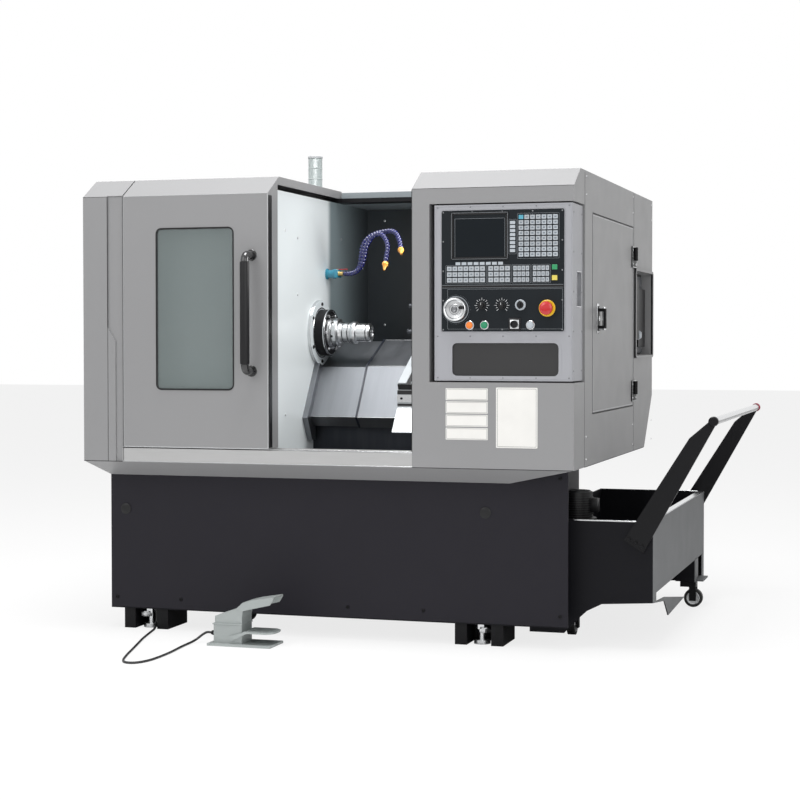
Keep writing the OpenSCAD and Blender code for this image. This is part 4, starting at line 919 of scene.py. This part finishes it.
# %% housing seams
gaps = bmesh.new()
SHELL_LOW_Z, BACK_LOW_Z, ROOF_Z = 600, 800, 1578
seam_strips = (
    ((-777.8, -776.2), (-0.4, 0.6), (SHELL_LOW_Z, 1514)),
    ((-719.4, -717.6), (-0.4, 1), (SHELL_LOW_Z, 1514)),
    ((-870, -722), (-0.4, 0.4), (1514.2, 1515.4)),
    ((328, 870), (-0.4, 0.4), (1514.2, 1515.4)),
    ((328, 870), (-0.5, 0.4), (599, 601.2)),
    ((-870, -722), (-0.5, 0.4), (599, 601.2)),
    ((869.6, 870.4), (167, 169), (SHELL_LOW_Z, 1570)),
    ((869.6, 870.4), (170, 1300), (599, 601)),
    ((869.6, 870.4), (1079, 1081), (SHELL_LOW_Z, ROOF_Z)),
    ((-870.4, -869.6), (300, 302), (SHELL_LOW_Z, ROOF_Z)),
    ((-870.4, -869.6), (1078, 1080), (SHELL_LOW_Z, ROOF_Z)),
    ((-870.4, -869.6), (0, 1300), (599, 601)),
    ((-300, -298), (1499.5, 1500.5), (BACK_LOW_Z, ROOF_Z)),
    ((298, 300), (1499.5, 1500.5), (BACK_LOW_Z, ROOF_Z)),
    ((-722, 700), (1499.5, 1500.5), (1100, 1102)),
    ((-723, -721), (300, 1500), (1577.6, 1578.4)),
    ((699, 701), (170, 1500), (1577.6, 1578.4)),
    ((326, 328), (-0.5, 1), (652, 1512)),
)
for span_x, span_y, span_z in seam_strips:
    slab(gaps, span_x, span_y, span_z, 0)
finish_piece("housing_joints", gaps, gap_black, "machine")
covers = bmesh.new()
back_panels = ((-510, 962, 380, 236), (0, 962, 520, 236), (500, 962, 360, 236), (-510, 1340, 380, 420),
    (0, 1340, 520, 420), (500, 1340, 360, 420))
for x, z, wide, high in back_panels:
    sheet(covers, BACK, at(x, 1500, z), wide, high, 2, 8)
sheet(covers, LEFT, at(-870, 690, 850), 640, 420, 2, 8)
sheet(covers, LEFT, at(-870, 690, 1340), 640, 380, 2, 8)
finish_piece("access_covers", covers, enclosure_coat, "machine")
louvres = bmesh.new()
for z in spread(1230, 1330, 9):
    slab(louvres, (-100, 100), (1501.5, 1506), (z, z + 5), 1.2, 2)
for z in spread(690, 760, 7):
    slab(louvres, (-876, -871.5), (560, 820), (z, z + 5), 1.2, 2)
finish_piece("louvres", louvres, enclosure_coat, "machine")
fan_guard = bmesh.new()
for r in (20, 36, 52, 68):
    turned(fan_guard, at(500, 1502, 1360), (0, 1, 0), [(r, 2.4), (r + 1.8, 4), (r, 5.6), (r - 1.8, 4), (r, 2.4)], 40)
for turn in (0, 45, 90, 135):
    bmesh.ops.create_cube(fan_guard, size=1, matrix=Matrix.Translation(at(500, 1504.4, 1360))
        @ Matrix.Rotation(math.radians(turn), 4, "Y") @ Matrix.Diagonal((0.140, 0.002, 0.003, 1)))
sheet(fan_guard, BACK, at(500, 1502, 1360), 160, 160, 2, 10, 8)
finish_piece("fan_guard", fan_guard, black_coat, "machine")
cover_screws = bmesh.new()
for x, z, wide, high in back_panels:
    for px in (x - wide / 2 + 14, x + wide / 2 - 14):
        for pz in (z - high / 2 + 14, z, z + high / 2 - 14):
            button_screw(cover_screws, at(px, 1502, pz), (0, 1, 0), 5)
for z, high in ((850, 420), (1340, 380)):
    for y in (386, 690, 994):
        for pz in (z - high / 2 + 14, z + high / 2 - 14):
            button_screw(cover_screws, at(-872, y, pz), (-1, 0, 0), 5)
for x in spread(-690, 670, 8):
    for y in (1110, 1470):
        button_screw(cover_screws, at(x, y, 1578), (0, 0, 1), 4.5)
for x in (-850, -745):
    for y in (200, 700, 1200, 1460):
        button_screw(cover_screws, at(x, y, 1578), (0, 0, 1), 4.5)
for x in (340, 520, 720, 855):
    for y in (190, 640, 1040):
        button_screw(cover_screws, at(x, y, 1578), (0, 0, 1), 4.5)
finish_piece("cover_screws", cover_screws, bright_steel, "machine")
print("housings joined and screwed")

# %% [markdown]
# The front of the right housing carries plates under the control box. Their print is left out,
# so they are bare: four small ones in a stack and one large one, each with a thin border line.

# %% bare plates
plates = bmesh.new()
for z in (843, 800, 757, 714):
    sheet(plates, FRONT, at(514, 0, z), 142, 39, 0.7, 2, 0, 0)
    sheet(plates, FRONT, at(514, -0.6, z), 137, 34, 0.3, 2, 0.8, 1)
sheet(plates, FRONT, at(682, 0, 768), 138, 196, 0.7, 3, 0, 0)
sheet(plates, FRONT, at(682, -0.6, 768), 130, 188, 0.3, 2, 0.9, 1)
finish_piece("bare_plates", plates, [plate_white, port_grey], "machine")
print("plates are bare")

# %% [markdown]
# The base is a heavy box behind a black apron. Round rubber plugs close two lifting holes, hex
# head bolts hold the apron, and each foot has its lock nut.

# %% base details
plugs = bmesh.new()
for x, z in ((-770, 424), (546, 446)):
    turned(plugs, at(x, 120, z), (0, -1, 0), [(0, -5), (15.4, -5), (15.4, 0.4), (19, 0.6), (19.4, 2), (17.6, 3.4),
        (9, 4), (0, 4)], 32)
finish_piece("apron_plugs", plugs, black_moulding, "machine")
apron_bolts = bmesh.new()
for x in (-805, -560, -300, 60, 330, 800):
    for z in (110, 565):
        if not (-340 < x < -100 and z < 200):
            socket_screw(apron_bolts, at(x, 120, z), (0, -1, 0), 6, 4)
finish_piece("apron_bolts", apron_bolts, black_coat, "machine")
nuts = bmesh.new()
for x in (-711, 533):
    for y in (163, 1283):
        turned(nuts, at(x, y, 40), (0, 0, 1), [(9, 0), (20, 0), (21, 1.5), (21, 12.5), (20, 14), (9, 14)], 6)
        turned(nuts, at(x, y, 54), (0, 0, 1), [(9, 0), (17, 0), (17, 3), (9, 3)], 24)
finish_piece("foot_nuts", nuts, chuck_steel, "machine")
apron_line = bmesh.new()
slab(apron_line, (-828, 826), (119.4, 120.4), (586, 590), 0.3)
slab(apron_line, (-828, 826), (119.2, 120.2), (72, 76), 0.3)
finish_piece("apron_folds", apron_line, cart_coat, "machine")
print("base details made")

# %% [markdown]
# The spindle end: a white cover ring with six black screws, a black flange with a bright edge,
# and the collet chuck. The chuck is turned steel, so its profile is spun with every groove and
# chamfer that catches light, and three slots in the nose show the collet's jaws.

# %% spindle end
SPINDLE = at(-190, 515, 1047)
ring_screws = bmesh.new()
for i in range(6):
    a = math.tau * (i + 0.5) / 6
    socket_screw(ring_screws, SPINDLE + Vector((0.012, 0.104 * math.cos(a), 0.104 * math.sin(a))), (1, 0, 0), 6.5, 4)
finish_piece("cover_ring_screws", ring_screws, black_moulding, "machine")
ring_edge = bmesh.new()
turned(ring_edge, SPINDLE, (1, 0, 0), [(116, 11.4), (118.4, 11.4), (118.8, 10), (118.8, 0), (118, 0)], 72)
turned(ring_edge, SPINDLE, (1, 0, 0), [(88, 11.6), (88, 13), (91, 13), (92.4, 11.6)], 72)
finish_piece("cover_ring_edge", ring_edge, bright_steel, "machine")
flange = bmesh.new()
turned(flange, SPINDLE, (1, 0, 0), [(83.6, 44), (84.6, 44.6), (84.6, 48), (82, 50.6), (78, 50.8), (77.4, 49.6)], 72)
turned(flange, SPINDLE, (1, 0, 0), [(60, 49.8), (60, 52), (56, 52.6), (53, 52.6), (52, 50)], 64)
finish_piece("flange_edges", flange, bright_steel, "spindle")
flange_bolts = bmesh.new()
for i in range(6):
    a = math.tau * i / 6
    socket_screw(flange_bolts, SPINDLE + Vector((0.050, 0.068 * math.cos(a), 0.068 * math.sin(a))), (1, 0, 0), 5.5, 5)
finish_piece("flange_bolts", flange_bolts, chuck_steel, "spindle")
chuck = bmesh.new()
turned(chuck, SPINDLE, (1, 0, 0), [(13, 50.5), (50, 50.5), (52, 52.5), (52, 60), (50.6, 61.4), (50.6, 63.6), (52, 65),
    (52, 80), (49, 84), (39, 84), (37.6, 86), (36, 89), (36, 98), (35, 99), (35, 101), (36, 102), (36, 118),
    (35, 119.2), (35, 121), (36, 122.2), (36, 130), (38.6, 131), (40, 133), (40, 147), (38.4, 149.4), (34.4, 150.4),
    (33, 152), (33, 186), (32, 187.2), (32, 189), (33, 190.2), (33, 198), (29.6, 202.4), (20, 203), (18.6, 201.6),
    (15, 201.6), (13.4, 202.8), (13, 201), (13, 50.5)], 72)
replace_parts(finish_piece("collet_nose", chuck, chuck_steel, "spindle"), "collet_chuck")
jaw_slots = bmesh.new()
for i in range(3):
    turn = Matrix.Rotation(math.tau * i / 3 + 0.5, 4, "X")
    bmesh.ops.create_cube(jaw_slots, size=1, matrix=Matrix.Translation(SPINDLE) @ turn
        @ Matrix.Translation((0.176, 0, 0.0232)) @ Matrix.Diagonal((0.0545, 0.0032, 0.0205, 1)))
for i in range(6):
    a = math.tau * i / 6 + 0.26
    turned(jaw_slots, SPINDLE + Vector((0.067, 0.0495 * math.cos(a), 0.0495 * math.sin(a))),
        (0, math.cos(a), math.sin(a)), [(5, 0), (5, 2.7), (3.6, 2.9), (0, 2.9)], 14)
for x, r in ((62.5, 50.9), (100, 35.9), (120, 35.9), (188, 32.9)):
    turned(jaw_slots, SPINDLE, (1, 0, 0), [(r - 1, x - 0.9), (r, x - 0.9), (r, x + 0.9), (r - 1, x + 0.9)], 64)
finish_piece("collet_slots", jaw_slots, gap_black, "spindle")
wall_dots = bmesh.new()
for y, z in ((300, 1380), (300, 1180), (760, 1400), (760, 900), (1010, 1300), (180, 1400), (180, 760), (1010, 760)):
    button_screw(wall_dots, at(-190, y, z), (1, 0, 0), 5)
for x, z in ((-120, 1490), (60, 1490), (240, 1490), (-120, 1080), (240, 1080)):
    button_screw(wall_dots, at(x, 1070, z), (0, -1, 0), 5)
finish_piece("wall_screws", wall_dots, chuck_steel, "machine")
print("spindle end dressed")

# %% [markdown]
# Coolant comes through the wall into a teal block with a brass valve and a red lever, and leaves
# in two chains of ball links that hold the shape they are bent to. Each chain is a curve whose
# own radius swells and narrows once per link, which keeps hundreds of beads out of the table.

# %% coolant fittings
fittings = bmesh.new()
TEAL, BRASS = range(2)
turned(fittings, at(-190, 600, 1264), (1, 0, 0), [(0, 0), (20, 0), (20, 4), (17.6, 6), (15, 7), (15, 24), (17.5, 26),
    (17.5, 34), (15, 36), (0, 36)], 32, TEAL)
slab(fittings, (-156, -140), (577, 623), (1250, 1280), 3, 3, TEAL)
for y in (588, 612):
    turned(fittings, at(-141, y, 1264), (1, 0, 0), [(0, 0), (8.6, 0), (8.6, 7), (7, 8.4), (7, 19), (0, 19)], 6, BRASS)
turned(fittings, at(-148, 600, 1279), (0, 0, 1), [(0, 0), (5, 0), (5, 3), (3.4, 4), (0, 4)], 20, BRASS)
coolant_valve = finish_piece("coolant_valve", fittings, [manifold_teal, brass, red_cap], "machine")
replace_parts(coolant_valve, "coolant_manifold")
lever = bmesh.new()
slab(lever, (-152, -108), (597, 603), (1279, 1282), 1, 2)
finish_piece("valve_lever", lever, red_cap, "machine")

# %% coolant chains
short_route = [(0, -12, 0), (14, -12, 0), (30, -20, 0), (60, -44, 5), (92, -72, 26), (110, -92, 58), (124, -112, 92),
    (150, -132, 122), (178, -152, 135), (204, -171, 130), (225, -191, 110), (238, -211, 86), (241, -230, 58),
    (242, -250, 26)]
long_route = [(0, 12, 0), (14, 12, 0), (28, 8, 2), (52, -8, 12), (72, -28, 34), (82, -48, 60), (92, -66, 86),
    (110, -84, 112), (136, -100, 130), (168, -116, 140), (200, -132, 144), (232, -150, 144), (258, -172, 132),
    (276, -196, 108), (286, -214, 86), (292, -228, 74)]
LINK = 14.0


def resampled(points, step):
    """The same line with a point every step metres."""
    out, carry = [points[0]], 0.0
    for a, b in zip(points, points[1:]):
        gap = (b - a).length
        while carry + step <= gap + 1e-9:
            carry += step
            out.append(a.lerp(b, carry / gap))
        carry -= gap
    return out


link_chains, tips = [], []
for name, route in (("short_chain", short_route), ("long_chain", long_route)):
    line = resampled(eased([at(-121.9 + x, 600 + y, 1264 + z) for x, y, z in route], 8), 0.0016)
    chain = round_curve(name, line, 8.5 * MM, 4)
    for i, point in enumerate(chain.data.splines[0].points):
        phase = (i * 1.6 / LINK) % 1
        point.radius *= 0.42 if phase < 0.12 else 0.42 + 0.64 * math.sin(math.pi * (phase - 0.12) / 0.88) ** 0.5
    chain.data.materials.append(hose_blue)
    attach(chain, "machine")
    link_chains.append(chain)
    tips.append((line[-1], (line[-1] - line[-6]).normalized()))
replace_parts(link_chains[0], "coolant_hoses")
nozzles = bmesh.new()
for place, way in tips:
    turned(nozzles, place, way, [(0, -2), (9.4, -2), (10.6, 2), (10.6, 8), (7.4, 12), (4.6, 22), (3.6, 30), (2.4, 30),
        (2.4, 24), (0, 24)], 24)
finish_piece("chain_nozzles", nozzles, orange_tip, "machine")
print("chains:", [round(length_of([Vector(p.co[:3]) for p in c.data.splines[0].points]), 3) for c in link_chains], "m")

# %% [markdown]
# Telescopic way covers are this machine's finest sheet work. Each is one bent sheet that nests in
# the next, with a wiper on its leading edge. Their bends catch light as thin lines, painted here
# as highlights: thin bright steel rods laid along each bend. Black wipers mark where one slides
# over the other. A ribbon of thin sheet follows the same bends.

# %% way covers
COVER_PATH = [(410, 708), (372, 746), (490, 926), (693, 1020), (1065, 1020)]


def ribbon(bm, xs, path, thick):
    """Sheet of a given thickness laid on a path of (y, z) points, from x to x."""
    before = set(bm.faces)
    points = [bm.verts.new(at(xs[0], y, z)) for y, z in path]
    edges = [bm.edges.new(pair) for pair in zip(points, points[1:])]
    grown = bmesh.ops.extrude_edge_only(bm, edges=edges)["geom"]
    far = [g for g in grown if isinstance(g, bmesh.types.BMVert)]
    bmesh.ops.translate(bm, verts=far, vec=((xs[1] - xs[0]) * MM, 0, 0))
    faces = [f for f in bm.faces if f not in before]
    bmesh.ops.recalc_face_normals(bm, faces=faces)
    if sum((f.normal.z - f.normal.y) * f.calc_area() for f in faces) < 0:
        bmesh.ops.reverse_faces(bm, faces=faces)
    bmesh.ops.solidify(bm, geom=faces, thickness=-thick * MM)


def lifted(path, lift):
    """A path moved outwards, up the normals of its segments."""
    out = []
    for i, (y, z) in enumerate(path):
        normals = []
        for a, b in ((i - 1, i), (i, i + 1)):
            if a >= 0 and b < len(path):
                dy, dz = path[b][0] - path[a][0], path[b][1] - path[a][1]
                size = math.hypot(dy, dz)
                normals.append((-dz / size, dy / size))
        ny, nz = sum(n[0] for n in normals), sum(n[1] for n in normals)
        size = math.hypot(ny, nz) or 1
        out.append((y + ny / size * lift, z + nz / size * lift))
    return out


wipers = {"left_cover": [], "carriage": []}
for body, xs in (("left_cover", (0.4, 5)), ("carriage", (0.8, 7)), ("carriage", (167, 175.4)),
        ("carriage", (554, 560.6)), ("carriage", (416.6, 424))):
    wipers[body].append(xs)
for body, spans in wipers.items():
    rubber = bmesh.new()
    for xs in spans:
        low, thick = (1.2, 2.6) if body == "carriage" else (-2.8, 0.7)
        ribbon(rubber, xs, lifted(COVER_PATH[:4], low), thick)
    finish_piece(body + "_wipers", rubber, wiper_rubber, body)


# painted highlights: a thin bright steel rod along each bend of a cover
def fold_highlights(bm, xs, drop):
    for y, z in lifted(COVER_PATH, 0.3 - drop)[1:4]:
        start = at(xs[0], y, z)
        turned(bm, start, (1, 0, 0), [(0, 0), (0.9, 0), (0.9, xs[1] - xs[0]), (0, xs[1] - xs[0])], 8)


# the bright rods on each cover's bends are painted highlights
for name, body, xs, drop in (("left_moving", "carriage", (8, 166), 0), ("right_moving", "carriage", (425, 553), 0),
        ("left_middle", "left_cover", (6, 126), 3), ("right_middle", "right_cover", (490, 618), 3),
        ("fixed", "machine", (-169, 699), 6)):
    folds = bmesh.new()
    fold_highlights(folds, xs, drop)
    finish_piece(name + "_folds", folds, bright_steel, body)
end_screws = bmesh.new()
for y, z in ((470, 770), (560, 905), (690, 985), (900, 1010)):
    socket_screw(end_screws, at(-170, y, z), (1, 0, 0), 4.5, 3)
finish_piece("end_plate_screws", end_screws, black_coat, "machine")
sill_highlights = bmesh.new()
# painted highlights: bright steel lines along the sill's two bends
slab(sill_highlights, (-722, 327), (-0.6, 0.4), (650.4, 652), 0.3)
slab(sill_highlights, (-722, 327), (-0.8, 0.4), (600.4, 603), 0.3)
finish_piece("sill_folds", sill_highlights, bright_steel, "machine")
print("way covers dressed")

# %% [markdown]
# The cross slide climbs the same slope as the covers. Its white plates are bolted on, with a
# black slot between them and bright edges below; the dark strip under the bright edges is a
# painted shadow. The turret stands on it: a dark block, and an eight sided disc whose stations
# hold round boring bars.

# %% slide and turret
SLIDE = at(0, 300, 867)


def on_slope(x, along, up):
    """A point of the slope: x in the drawing, along the 30 degree face, up off it."""
    return SLIDE + Vector((x * MM, 0, 0)) + (SLOPE @ Vector((0, along * MM, up * MM)))


slide_plates = bmesh.new()
WHITE_SHEET, SLOT_AND_SHADOW, EDGE = range(3)
for x, wide in ((197, 31), (318, 178)):
    sheet(slide_plates, SLOPE, on_slope(x, 104, 0), wide, 204, 4, 1.5, 0, WHITE_SHEET)
sheet(slide_plates, SLOPE, on_slope(220.7, 104, 0), 15.5, 204, 0.8, 0.5, 0, SLOT_AND_SHADOW)
sheet(slide_plates, SLOPE, on_slope(337, 404, 0), 140, 120, 2.0, 3, 0, WHITE_SHEET)
sheet(slide_plates, SLOPE @ FRONT, on_slope(296, 0, -12), 231, 22, 1.0, 0.5, 0, SLOT_AND_SHADOW)
sheet(slide_plates, FRONT, at(296, 300, 838), 231, 14, 1.0, 0.5, 0, SLOT_AND_SHADOW)
sheet(slide_plates, FRONT, at(296, 300, 817), 231, 25, 3, 1, 0, EDGE)
# painted shadow: a dark strip under the bright edge band, where its shadow falls
sheet(slide_plates, FRONT, at(296, 300, 795), 231, 8, 1.0, 0.5, 0, SLOT_AND_SHADOW)
finish_piece("slide_plates", slide_plates, [slide_white, gap_black, bright_steel], "cross_slide")
slide_screws = bmesh.new()
normal = outward(SLOPE)
for x in (240, 320, 400):
    for along in (14, 104, 194):
        socket_screw(slide_screws, on_slope(x, along, 4.0), normal, 4.6, 3)
for x in (196, 262, 330, 396):
    socket_screw(slide_screws, at(x, 297, 817), (0, -1, 0), 4.2, 3)
for x in (276, 398):
    for along in (352, 456):
        socket_screw(slide_screws, on_slope(x, along, 2.0), normal, 4.6, 3)
finish_piece("slide_screws", slide_screws, black_coat, "cross_slide")
turret_trim = bmesh.new()
for x in (274, 384):
    for along in (284, 420):
        socket_screw(turret_trim, on_slope(x, along, 134), normal, 7, 5)
sheet(turret_trim, SLOPE, on_slope(329, 352, 134), 84, 108, 3, 6)
finish_piece("turret_cap", turret_trim, chuck_steel, "cross_slide")
disc_detail = bmesh.new()
turned(disc_detail, on_slope(205, 352, 48), (-1, 0, 0), [(0, 5), (28, 5), (31, 3), (31, 0), (36, 0), (36, 2), (40, 2.6),
    (41, 1), (41, -0.4)], 48)
for i in range(8):
    a = math.tau * (i + 0.5) / 8
    socket_screw(disc_detail, on_slope(205, 352 + 48 * math.sin(a), 48 + 48 * math.cos(a)), (-1, 0, 0), 5, 3.5)
for i in range(0, 8, 2):
    a = math.tau * i / 8
    along, up = 352 + 68 * math.sin(a), 48 + 68 * math.cos(a)
    for side in (-1, 1):
        socket_screw(disc_detail, on_slope(189, along + side * 10 * math.cos(a), up - side * 10 * math.sin(a)),
            (-1, 0, 0), 3.2, 2.5)
finish_piece("turret_screws", disc_detail, chuck_steel, "turret")
print("slide plates on the slope at", round(math.degrees(math.asin(normal.y * -1)), 1), "degrees")

# %% [markdown]
# The cabinet door's hinges are black blocks with a bright rim, and its latch is a bright pull.
# Round the service port the rim is painted and rounded; dark pieces sit inside it.

# %% right side
hinges = bmesh.new()
for z in (815, 1320):
    slab(hinges, (870, 874.5), (1030, 1112), (z - 40 + 13, z + 40 + 13), 2, 2)
finish_piece("hinge_leaves", hinges, black_coat, "machine")
hinge_rims = bmesh.new()
for z in (828, 1333):
    sheet(hinge_rims, RIGHT, at(874.5, 1071, z), 80, 78, 1.2, 3, 2.4)
    for y in (1040, 1102):
        for dz in (-26, 26):
            button_screw(hinge_rims, at(874.5, y, z + dz), (1, 0, 0), 4)
finish_piece("hinge_rims", hinge_rims, bright_steel, "machine")
latch = bmesh.new()
slab(latch, (870, 873), (368, 402), (1042, 1144), 1.2, 2)
turned(latch, at(893, 385, 1054), (0, 0, 1), [(0, 0), (5, 0), (6.4, 1.6), (6.4, 76.4), (5, 78), (0, 78)], 20)
for z in (1058, 1128):
    turned(latch, at(872, 385, z), (1, 0, 0), [(5, 0), (5, 22), (0, 22)], 16)
turned(latch, at(873, 385, 1093), (1, 0, 0), [(9, 0), (9, 3), (7.6, 4.4), (3, 4.4), (2.4, 2), (0, 2)], 24)
finish_piece("cabinet_latch", latch, bright_steel, "cabinet_door")
door_edge = bmesh.new()
# painted highlight: a pale rim round the cabinet door's folded edge
sheet(door_edge, RIGHT, at(870, 682.5, 1109), 760, 663, 0.8, 3, 2.4)
finish_piece("cabinet_door_fold_highlight", door_edge, pale_and_highlight_coat, "cabinet_door")
cab_gap = bmesh.new()
sheet(cab_gap, RIGHT, at(869.7, 682.5, 1109), 771, 674, 0.6, 3, 2.6)
finish_piece("cabinet_gap", cab_gap, gap_black, "machine")
port = bmesh.new()
PAINT, HOLE, GREYED, REDDISH, MILKY = range(5)
sheet(port, RIGHT, at(876, 1288, 1122.5), 392, 341, 2.4, 16, 9, PAINT)
sheet(port, RIGHT, at(828, 1288, 1122.5), 366, 315, 1, 10, 0, HOLE)
sheet(port, RIGHT, at(829, 1288, 1238), 330, 66, 6, 5, 0, GREYED)
sheet(port, RIGHT, at(829, 1185, 1100), 108, 150, 8, 8, 0, GREYED)
turned(port, at(837, 1178, 1118), (1, 0, 0), [(38, 0), (38, 3), (34, 6), (16, 6), (14, 9), (0, 9)], 32, GREYED)
turned(port, at(846, 1178, 1118), (1, 0, 0), [(7, 0), (7, 3), (5, 4), (0, 4)], 20, REDDISH)
turned(port, at(837, 1208, 1060), (1, 0, 0), [(7, 0), (7, 4), (0, 4)], 20, MILKY)
turned(port, at(829, 1300, 1040), (1, 0, 0), [(24, 0), (24, 8), (19, 12), (17, 26), (12, 32), (0, 32)], 28, MILKY)
sheet(port, RIGHT, at(829, 1370, 1092), 126, 150, 7, 6, 0, GREYED)
sheet(port, RIGHT, at(829, 1288, 988), 330, 36, 9, 4, 0, GREYED)
for y in (1138, 1438):
    button_screw(port, at(838, y, 988), (1, 0, 0), 4.4)
    button_screw(port, at(835, y, 1238), (1, 0, 0), 4.4)
finish_piece("service_port", port, [enclosure_coat, gap_black, port_grey, red_cap, white_key], "machine")
side_screws = bmesh.new()
for y in (195, 1060, 1480):
    for z in (625, 700, 1500, 1560):
        button_screw(side_screws, at(870, y, z), (1, 0, 0), 4)
finish_piece("side_screws", side_screws, bright_steel, "machine")
print("right side dressed")

# %% [markdown]
# The tower light is a stack of clear lenses on a short foot, ribbed so that the lamp inside
# spreads. It isn't lit.

# %% tower light
tower = bmesh.new()
LENS, CAP = range(2)
low = at(-347, 900, 1578)
turned(tower, low, (0, 0, 1), [(0, 0), (34, 0), (34, 5), (30, 7), (26, 9), (26, 26), (0, 26)], 40, CAP)
for k, z in enumerate((26, 66, 106)):
    ribs = []
    for i in range(9):
        ribs += [(27.6, z + 2 + i * 4), (26.4, z + 4 + i * 4)]
    turned(tower, low, (0, 0, 1), [(0, z), (28, z)] + ribs + [(28, z + 39), (0, z + 39)], 40, LENS)
turned(tower, low, (0, 0, 1), [(0, 146), (28.4, 146), (28.4, 153), (25, 157), (0, 158)], 40, CAP)
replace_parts(finish_piece("tower_lamp", tower, [lamp_lens, pale_and_highlight_coat], "machine"), "tower_light")
print("tower light made")

# %% [markdown]
# The chip cart is folded sheet with a thin bright rim. Its push bar is a black tube with crimson
# end caps, and small bolts hold the bar's arms. Wheels have hubs, tread edges and axle bolts.

# %% chip cart trim
cart_trim = bmesh.new()
slab(cart_trim, (1070, 1096), (190, 1400), (423, 426), 0.8)
slab(cart_trim, (680, 1096), (1397, 1401), (421, 426), 0.8)
slab(cart_trim, (830, 1096), (189, 193), (421, 426), 0.8)
finish_piece("cart_rim", cart_trim, bright_steel, "cart")
caps = bmesh.new()
for y, way in ((178, -1), (1412, 1)):
    turned(caps, at(1294, y, 757), (0, way, 0), [(12.2, 0), (15.4, 0), (15.9, 2), (15.9, 22), (13, 25.4), (0, 26)],
        28, way < 0)
finish_piece("bar_end_caps", caps, [crimson_grip, black_coat], "cart")
sleeve = bmesh.new()
turned(sleeve, at(1294, 190, 757), (0, 1, 0), [(12.2, 0), (12.6, 0.4), (12.6, 1209.6), (12.2, 1210)], 28)
finish_piece("push_bar_sleeve", sleeve, bright_steel, "cart")
arm_bolts = bmesh.new()
ARM_UP = Vector((0.48, 0, 0.877))
ARM_ACROSS = Vector((-0.877, 0, 0.48))
for y, way in ((180, -1), (1410, 1)):
    for step in (-24, 0, 24):
        place = at(1032, y, 342) + ARM_UP * 0.014 + ARM_ACROSS * (step * MM)
        turned(arm_bolts, place, (0, way, 0), [(9, 0), (9, 1.2), (6.6, 1.4), (6.6, 5), (5.8, 6), (0, 6)], 6)
finish_piece("arm_bolts", arm_bolts, black_coat, "cart")
pump_fins = bmesh.new()
for z in spread(416, 480, 9):
    turned(pump_fins, at(795, 400, 0), (0, 0, 1), [(54, z), (58, z), (58, z + 2.5), (54, z + 2.5)], 40)
turned(pump_fins, at(795, 400, 0), (0, 0, 1), [(0, 499), (50, 499), (48, 504), (20, 506), (0, 506)], 40)
slab(pump_fins, (830, 872), (378, 422), (430, 478), 3, 2)
finish_piece("pump_motor_fins", pump_fins, black_moulding, "cart")
print("cart trimmed")

# %% wheels
for name, centre, axis, span, body in (("front_wheel", (774, 432, 35), (1, 0, 0), (0,), "front_caster_wheel"),
        ("rear_wheel", (1086, 1183, 35), (0, 1, 0), (0,), "rear_caster_wheel"),
        ("tank_wheel", (-420, 380, 35), (0, 1, 0), (0, 686), "tank_wheels")):
    hub = bmesh.new()
    for shift in span:
        middle = at(*centre) + Vector(axis) * shift * MM
        for way in (-1, 1):
            turned(hub, middle, Vector(axis) * way, [(8.5, 12.6), (24, 12.6), (25, 13.4), (24, 14.2), (20, 13.6),
                (12, 13.6), (10.5, 15.4), (8.5, 15.4)], 32)
    finish_piece(name + "_hubs", hub, chuck_steel, body)
print("wheel hubs turned")

# %% [markdown]
# The foot pedal is a hammered casting with a guard over the treadle. The split between its top
# and base shows as a fine line, the treadle has cast ridges, and a ribbed gland grips the cord.

# %% foot pedal
pedal_trim = bmesh.new()
sheet(pedal_trim, UP, at(-281.5, -70, 69.2), 101.8, 89, 1.6, 10, 2.0)
finish_piece("pedal_seam", pedal_trim, gap_black, "machine")
pedal_screws = bmesh.new()
for x in (-322, -241):
    for y in (-104, -36):
        button_screw(pedal_screws, at(x, y, 70.6), (0, 0, 1), 3.2)
for x, way in ((-264, 1), (-264, -1)):
    turned(pedal_screws, at(x, -70 + way * 45, 27), (0, way, 0), [(5, 0), (5, 2), (4, 3), (0, 3)], 16)
finish_piece("pedal_screws", pedal_screws, chuck_steel, "machine")
ridges = bmesh.new()
for x in spread(-212, -140, 7):
    slab(ridges, (x, x + 4), (-112 + max(0, x + 176) * 0.5, -28 - max(0, x + 176) * 0.5), (49.4, 51.6), 0.8, 2)
finish_piece("treadle_ridges", ridges, pedal_coat, "treadle")
gland = bmesh.new()
turned(gland, at(-332, -70, 34), (-1, 0, 0), [(0, 0), (13, 0), (13, 9), (11.4, 10.4), (10, 10.4), (10, 13), (9, 14),
    (9, 16), (7.6, 17), (8.4, 18), (8.4, 20), (7, 21), (7.8, 22), (7.8, 24), (6.2, 25), (6.6, 26), (5, 28), (0, 28)],
    24)
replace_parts(finish_piece("pedal_strain_relief", gland, black_moulding, "machine"), "pedal_gland")
print("pedal dressed")
